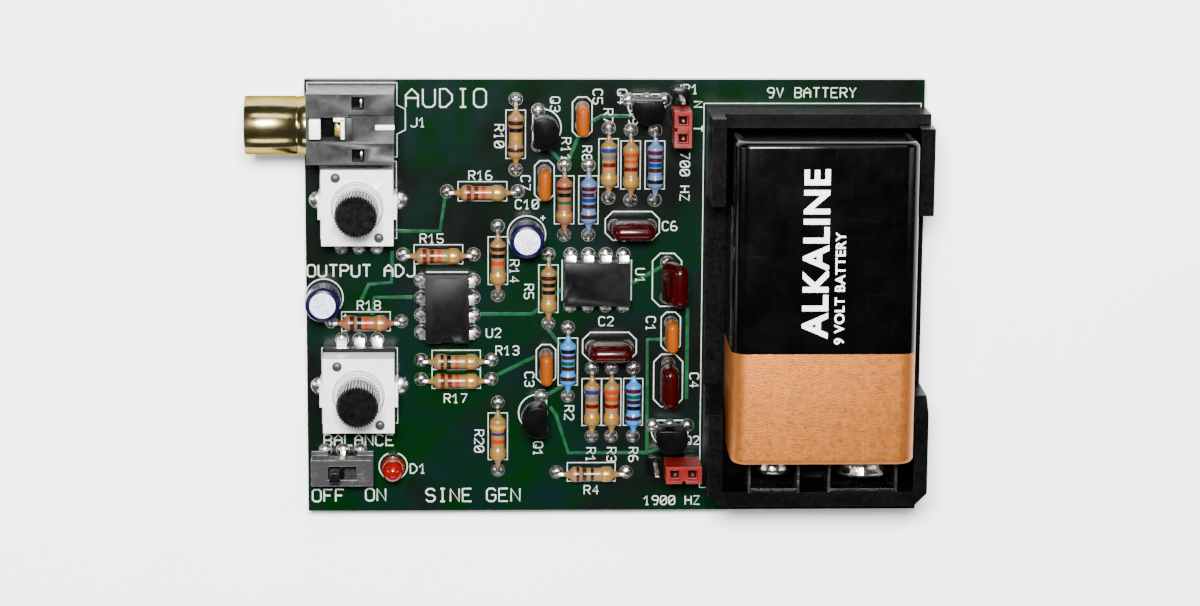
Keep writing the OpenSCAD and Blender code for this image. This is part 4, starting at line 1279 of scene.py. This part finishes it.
# words, middle in board millimetres, letter height, turn
legendWords = [
    ("AUDIO", 20.2, 60.8, 2.6, 0), ("J1", 16.2, 57.3, 1.3, 0), ("9V BATTERY", 72.6, 61.6, 1.4, 0),
    ("SINE GEN", 24.0, 2.3, 1.9, 0), ("OUTPUT ADJ", 7.9, 35.7, 1.7, 0), ("BALANCE", 7.4, 10.6, 1.6, 0),
    ("OFF", 2.9, 2.3, 1.8, 0), ("ON", 9.8, 2.4, 1.8, 0), ("D1", 16.0, 6.3, 1.4, 0),
    ("1900 HZ", 53.1, 1.4, 1.3, 0), ("700 HZ", 54.5, 49.4, 1.3, -90), ("JP1", 54.6, 62.1, 1.3, 0),
    ("N", 56.3, 59.9, 1.2, -90), ("T", 56.3, 56.4, 1.2, -90),
    ("Q1", 33.5, 9.2, 1.3, -90), ("Q2", 56.0, 10.4, 1.2, 0), ("Q3", 35.8, 59.9, 1.3, -90),
    ("Q4", 45.4, 61.0, 1.3, -90), ("U1", 48.2, 34.9, 1.3, -90), ("U2", 27.0, 26.5, 1.3, 0),
    ("C1", 49.8, 27.8, 1.3, -90), ("C2", 43.3, 28.2, 1.3, 0), ("C3", 32.2, 19.6, 1.3, -90),
    ("C4", 56.2, 19.4, 1.3, -90), ("C5", 41.9, 61.0, 1.3, -90), ("C6", 52.4, 42.2, 1.3, 0),
    ("C7", 31.6, 48.5, 1.3, -90), ("C10", 31.8, 45.4, 1.3, 0), ("+", 34.1, 43.4, 1.0, 0),
    ("+", 5.6, 29.0, 1.0, 0),
    ("R1", 41.2, 8.3, 1.3, -90), ("R2", 38.0, 14.6, 1.3, -90), ("R3", 44.2, 8.3, 1.3, -90),
    ("R4", 41.3, 3.0, 1.3, 0), ("R5", 32.1, 32.6, 1.3, -90), ("R6", 47.4, 8.3, 1.3, -90),
    ("R7", 43.4, 58.2, 1.3, -90), ("R8", 40.4, 52.8, 1.3, -90), ("R9", 47.0, 58.0, 1.2, -90),
    ("R10", 27.8, 55.3, 1.3, -90), ("R11", 37.4, 53.4, 1.3, -90), ("R13", 29.0, 23.9, 1.3, 0),
    ("R14", 30.0, 35.6, 1.3, -90), ("R15", 18.1, 40.4, 1.3, 0), ("R16", 25.1, 49.6, 1.3, 0),
    ("R17", 21.5, 16.8, 1.3, 0), ("R18", 9.0, 30.6, 1.3, 0), ("R20", 24.9, 10.4, 1.3, -90)]


def letterStrokes(words, x, y, height, turn):
    scale = height / 6
    advance = legendLook["advance"] * scale
    start = -(len(words) - 1) * advance / 2 - 2 * scale
    spin = math.radians(turn)
    strokes = []
    for place, letter in enumerate(words):
        for stroke in glyphs.get(letter, "").split():
            points = []
            for i in range(0, len(stroke), 2):
                u = start + place * advance + int(stroke[i]) * scale
                v = (int(stroke[i + 1]) - 3) * scale
                points.append(boardPoint(x + u * math.cos(spin) - v * math.sin(spin),
                                         y + u * math.sin(spin) + v * math.cos(spin)))
            strokes.append(points)
    return strokes


def outline(place, width, depth, cut=0.0):
    # a closed box round a component, with cut corners if asked
    w, d, c = width / 2, depth / 2, cut
    square = [(-w, -d), (w, -d), (w, d), (-w, d)]
    clipped = [(-w + c, -d), (w - c, -d), (w, -d + c), (w, d - c),
               (w - c, d), (-w + c, d), (-w, d - c), (-w, -d + c)]
    return [place @ Vector((x * mm, y * mm, 0)) for x, y in (clipped if cut else square)]


def ring(place, radius, start=0, end=360, steps=32):
    turns = [math.radians(start + (end - start) * i / steps) for i in range(steps + 1)]
    return [place @ Vector((radius * mm * math.cos(t), radius * mm * math.sin(t), 0)) for t in turns]


def makeLegend():
    thin, bold = [], []
    for words, x, y, height, turn in legendWords:
        (bold if height > 1.5 else thin).extend(letterStrokes(words, x, y, height, turn))
    boxes = [outline(seating(node), 7.0, 2.8) for node in resistorCodes]
    for name in ("c1", "c3", "c5", "c7"):
        boxes.append(outline(seating("capacitor_" + name), 5.7, 2.8, 0.75))
    for name in ("c2", "c4", "c6", "c8"):
        boxes.append(outline(seating("capacitor_" + name), 7.8, 4.2, 1.1))
    for label in ("output_pot", "balance_pot"):
        boxes.append(outline(onBoard(middle(label + "_shaft")), 10.9, 11.2))
    boxes += [[boardPoint(*corner) for corner in box] for box in (legendLook["holder"], legendLook["jack"])]
    for node in ("capacitor_c9", "capacitor_c10"):
        thin.append(ring(onBoard(middle(node)), 2.75))
    thin.append(ring(onBoard(middle("indicator_led")), 2.05, 110, 430))
    for node, turn in transistorLook["turns"].items():
        place = onBoard(middle(node), turn) @ Matrix.Translation((0.5 * mm, 0, 0))
        thin.append(ring(place, 2.7, 60, 300))
        thin.append([place @ Vector((1.35 * mm, y * mm, 0)) for y in (-2.5, 2.5)])
    for node in ("chip_u1", "chip_u2"):
        for x in (-5.0, 5.0):
            thin.append([seating(node) @ (Vector((x, y, 0)) * mm) for y in (-3.0, 3.0)])
    bm = bmesh.new()
    for strokes, width, loops in ((thin, "line", ()), (bold, "bold", ()), (boxes, "line", range(len(boxes)))):
        joined(bm, flattened(curveMesh(strokes, legendLook[width] / 2, closed=loops), 0.34))
    finished("board_legend", bm, [finish("legend_ink", legendLook["ink"])], "board", smooth=80)


makeLegend()
print("legend ready")

# Pale floor, soft light and the camera, in millimetres
settingLook = {
    "floor": {"tone": (0.92, 0.92, 0.915), "other": (0.88, 0.88, 0.875), "cloud": 60.0, "rough": 0.7},
    "sky": 0.1,
    # light: place, size and power; each looks at the middle
    "key": ((-34, 180, 520), (150, 90), 15.0), "back": ((40, 450, 420), (460, 120), 1.5),
    "front": ((0, -460, 330), (400, 120), 1.2), "left": ((-500, 80, 340), (150, 340), 1.0),
    "right": ((500, 60, 340), (150, 340), 1.0),
    "camera": (-17.97, 98.0, 494.0), "aim": (1.985, -0.851, 4.0), "roll": 0.00635, "lens": 103.67}


def makeFloor():
    scene = bpy.context.scene
    bm = bmesh.new()
    bmesh.ops.create_grid(bm, x_segments=8, y_segments=8, size=1.5)
    mesh = bpy.data.meshes.new("floor")
    bm.to_mesh(mesh)
    bm.free()
    floor = bpy.data.objects.new("floor", mesh)
    scene.collection.objects.link(floor)
    mesh.materials.append(finish("pale_paper", settingLook["floor"]))


def makeLights():
    scene = bpy.context.scene
    world = bpy.data.worlds.new("studio")
    scene.world = world
    world.use_nodes = True
    sky = world.node_tree.nodes["Background"]
    sky.inputs["Color"].default_value = (1, 1, 1, 1)
    sky.inputs["Strength"].default_value = settingLook["sky"]
    for name in ("key", "back", "front", "left", "right"):
        at, size, power = settingLook[name]
        light = bpy.data.lights.new(name, "AREA")
        light.shape = "RECTANGLE"
        light.size = size[0] * mm
        light.size_y = size[1] * mm
        light.energy = power
        lamp = bpy.data.objects.new(name, light)
        scene.collection.objects.link(lamp)
        lamp.location = Vector(at) * mm
        lamp.rotation_euler = (-Vector(at)).to_track_quat("-Z", "Y").to_euler()


def makeCamera():
    scene = bpy.context.scene
    look = settingLook
    place = Vector(look["camera"]) * mm
    aim = Vector(look["aim"]) * mm
    back = (place - aim).normalized()
    right = Vector((0, 1, 0)).cross(back).normalized()
    up = back.cross(right)
    tilted = right * math.cos(look["roll"]) + up * math.sin(look["roll"])
    camera = bpy.data.objects.new("camera", bpy.data.cameras.new("camera"))
    scene.collection.objects.link(camera)
    basis = Matrix((tilted, back.cross(tilted), back)).transposed().to_4x4()
    camera.matrix_world = Matrix.Translation(place) @ basis
    camera.data.lens = look["lens"]
    camera.data.sensor_width = 36
    camera.data.clip_start = 0.01
    scene.camera = camera


makeFloor()
makeLights()
makeCamera()
print("setting ready")
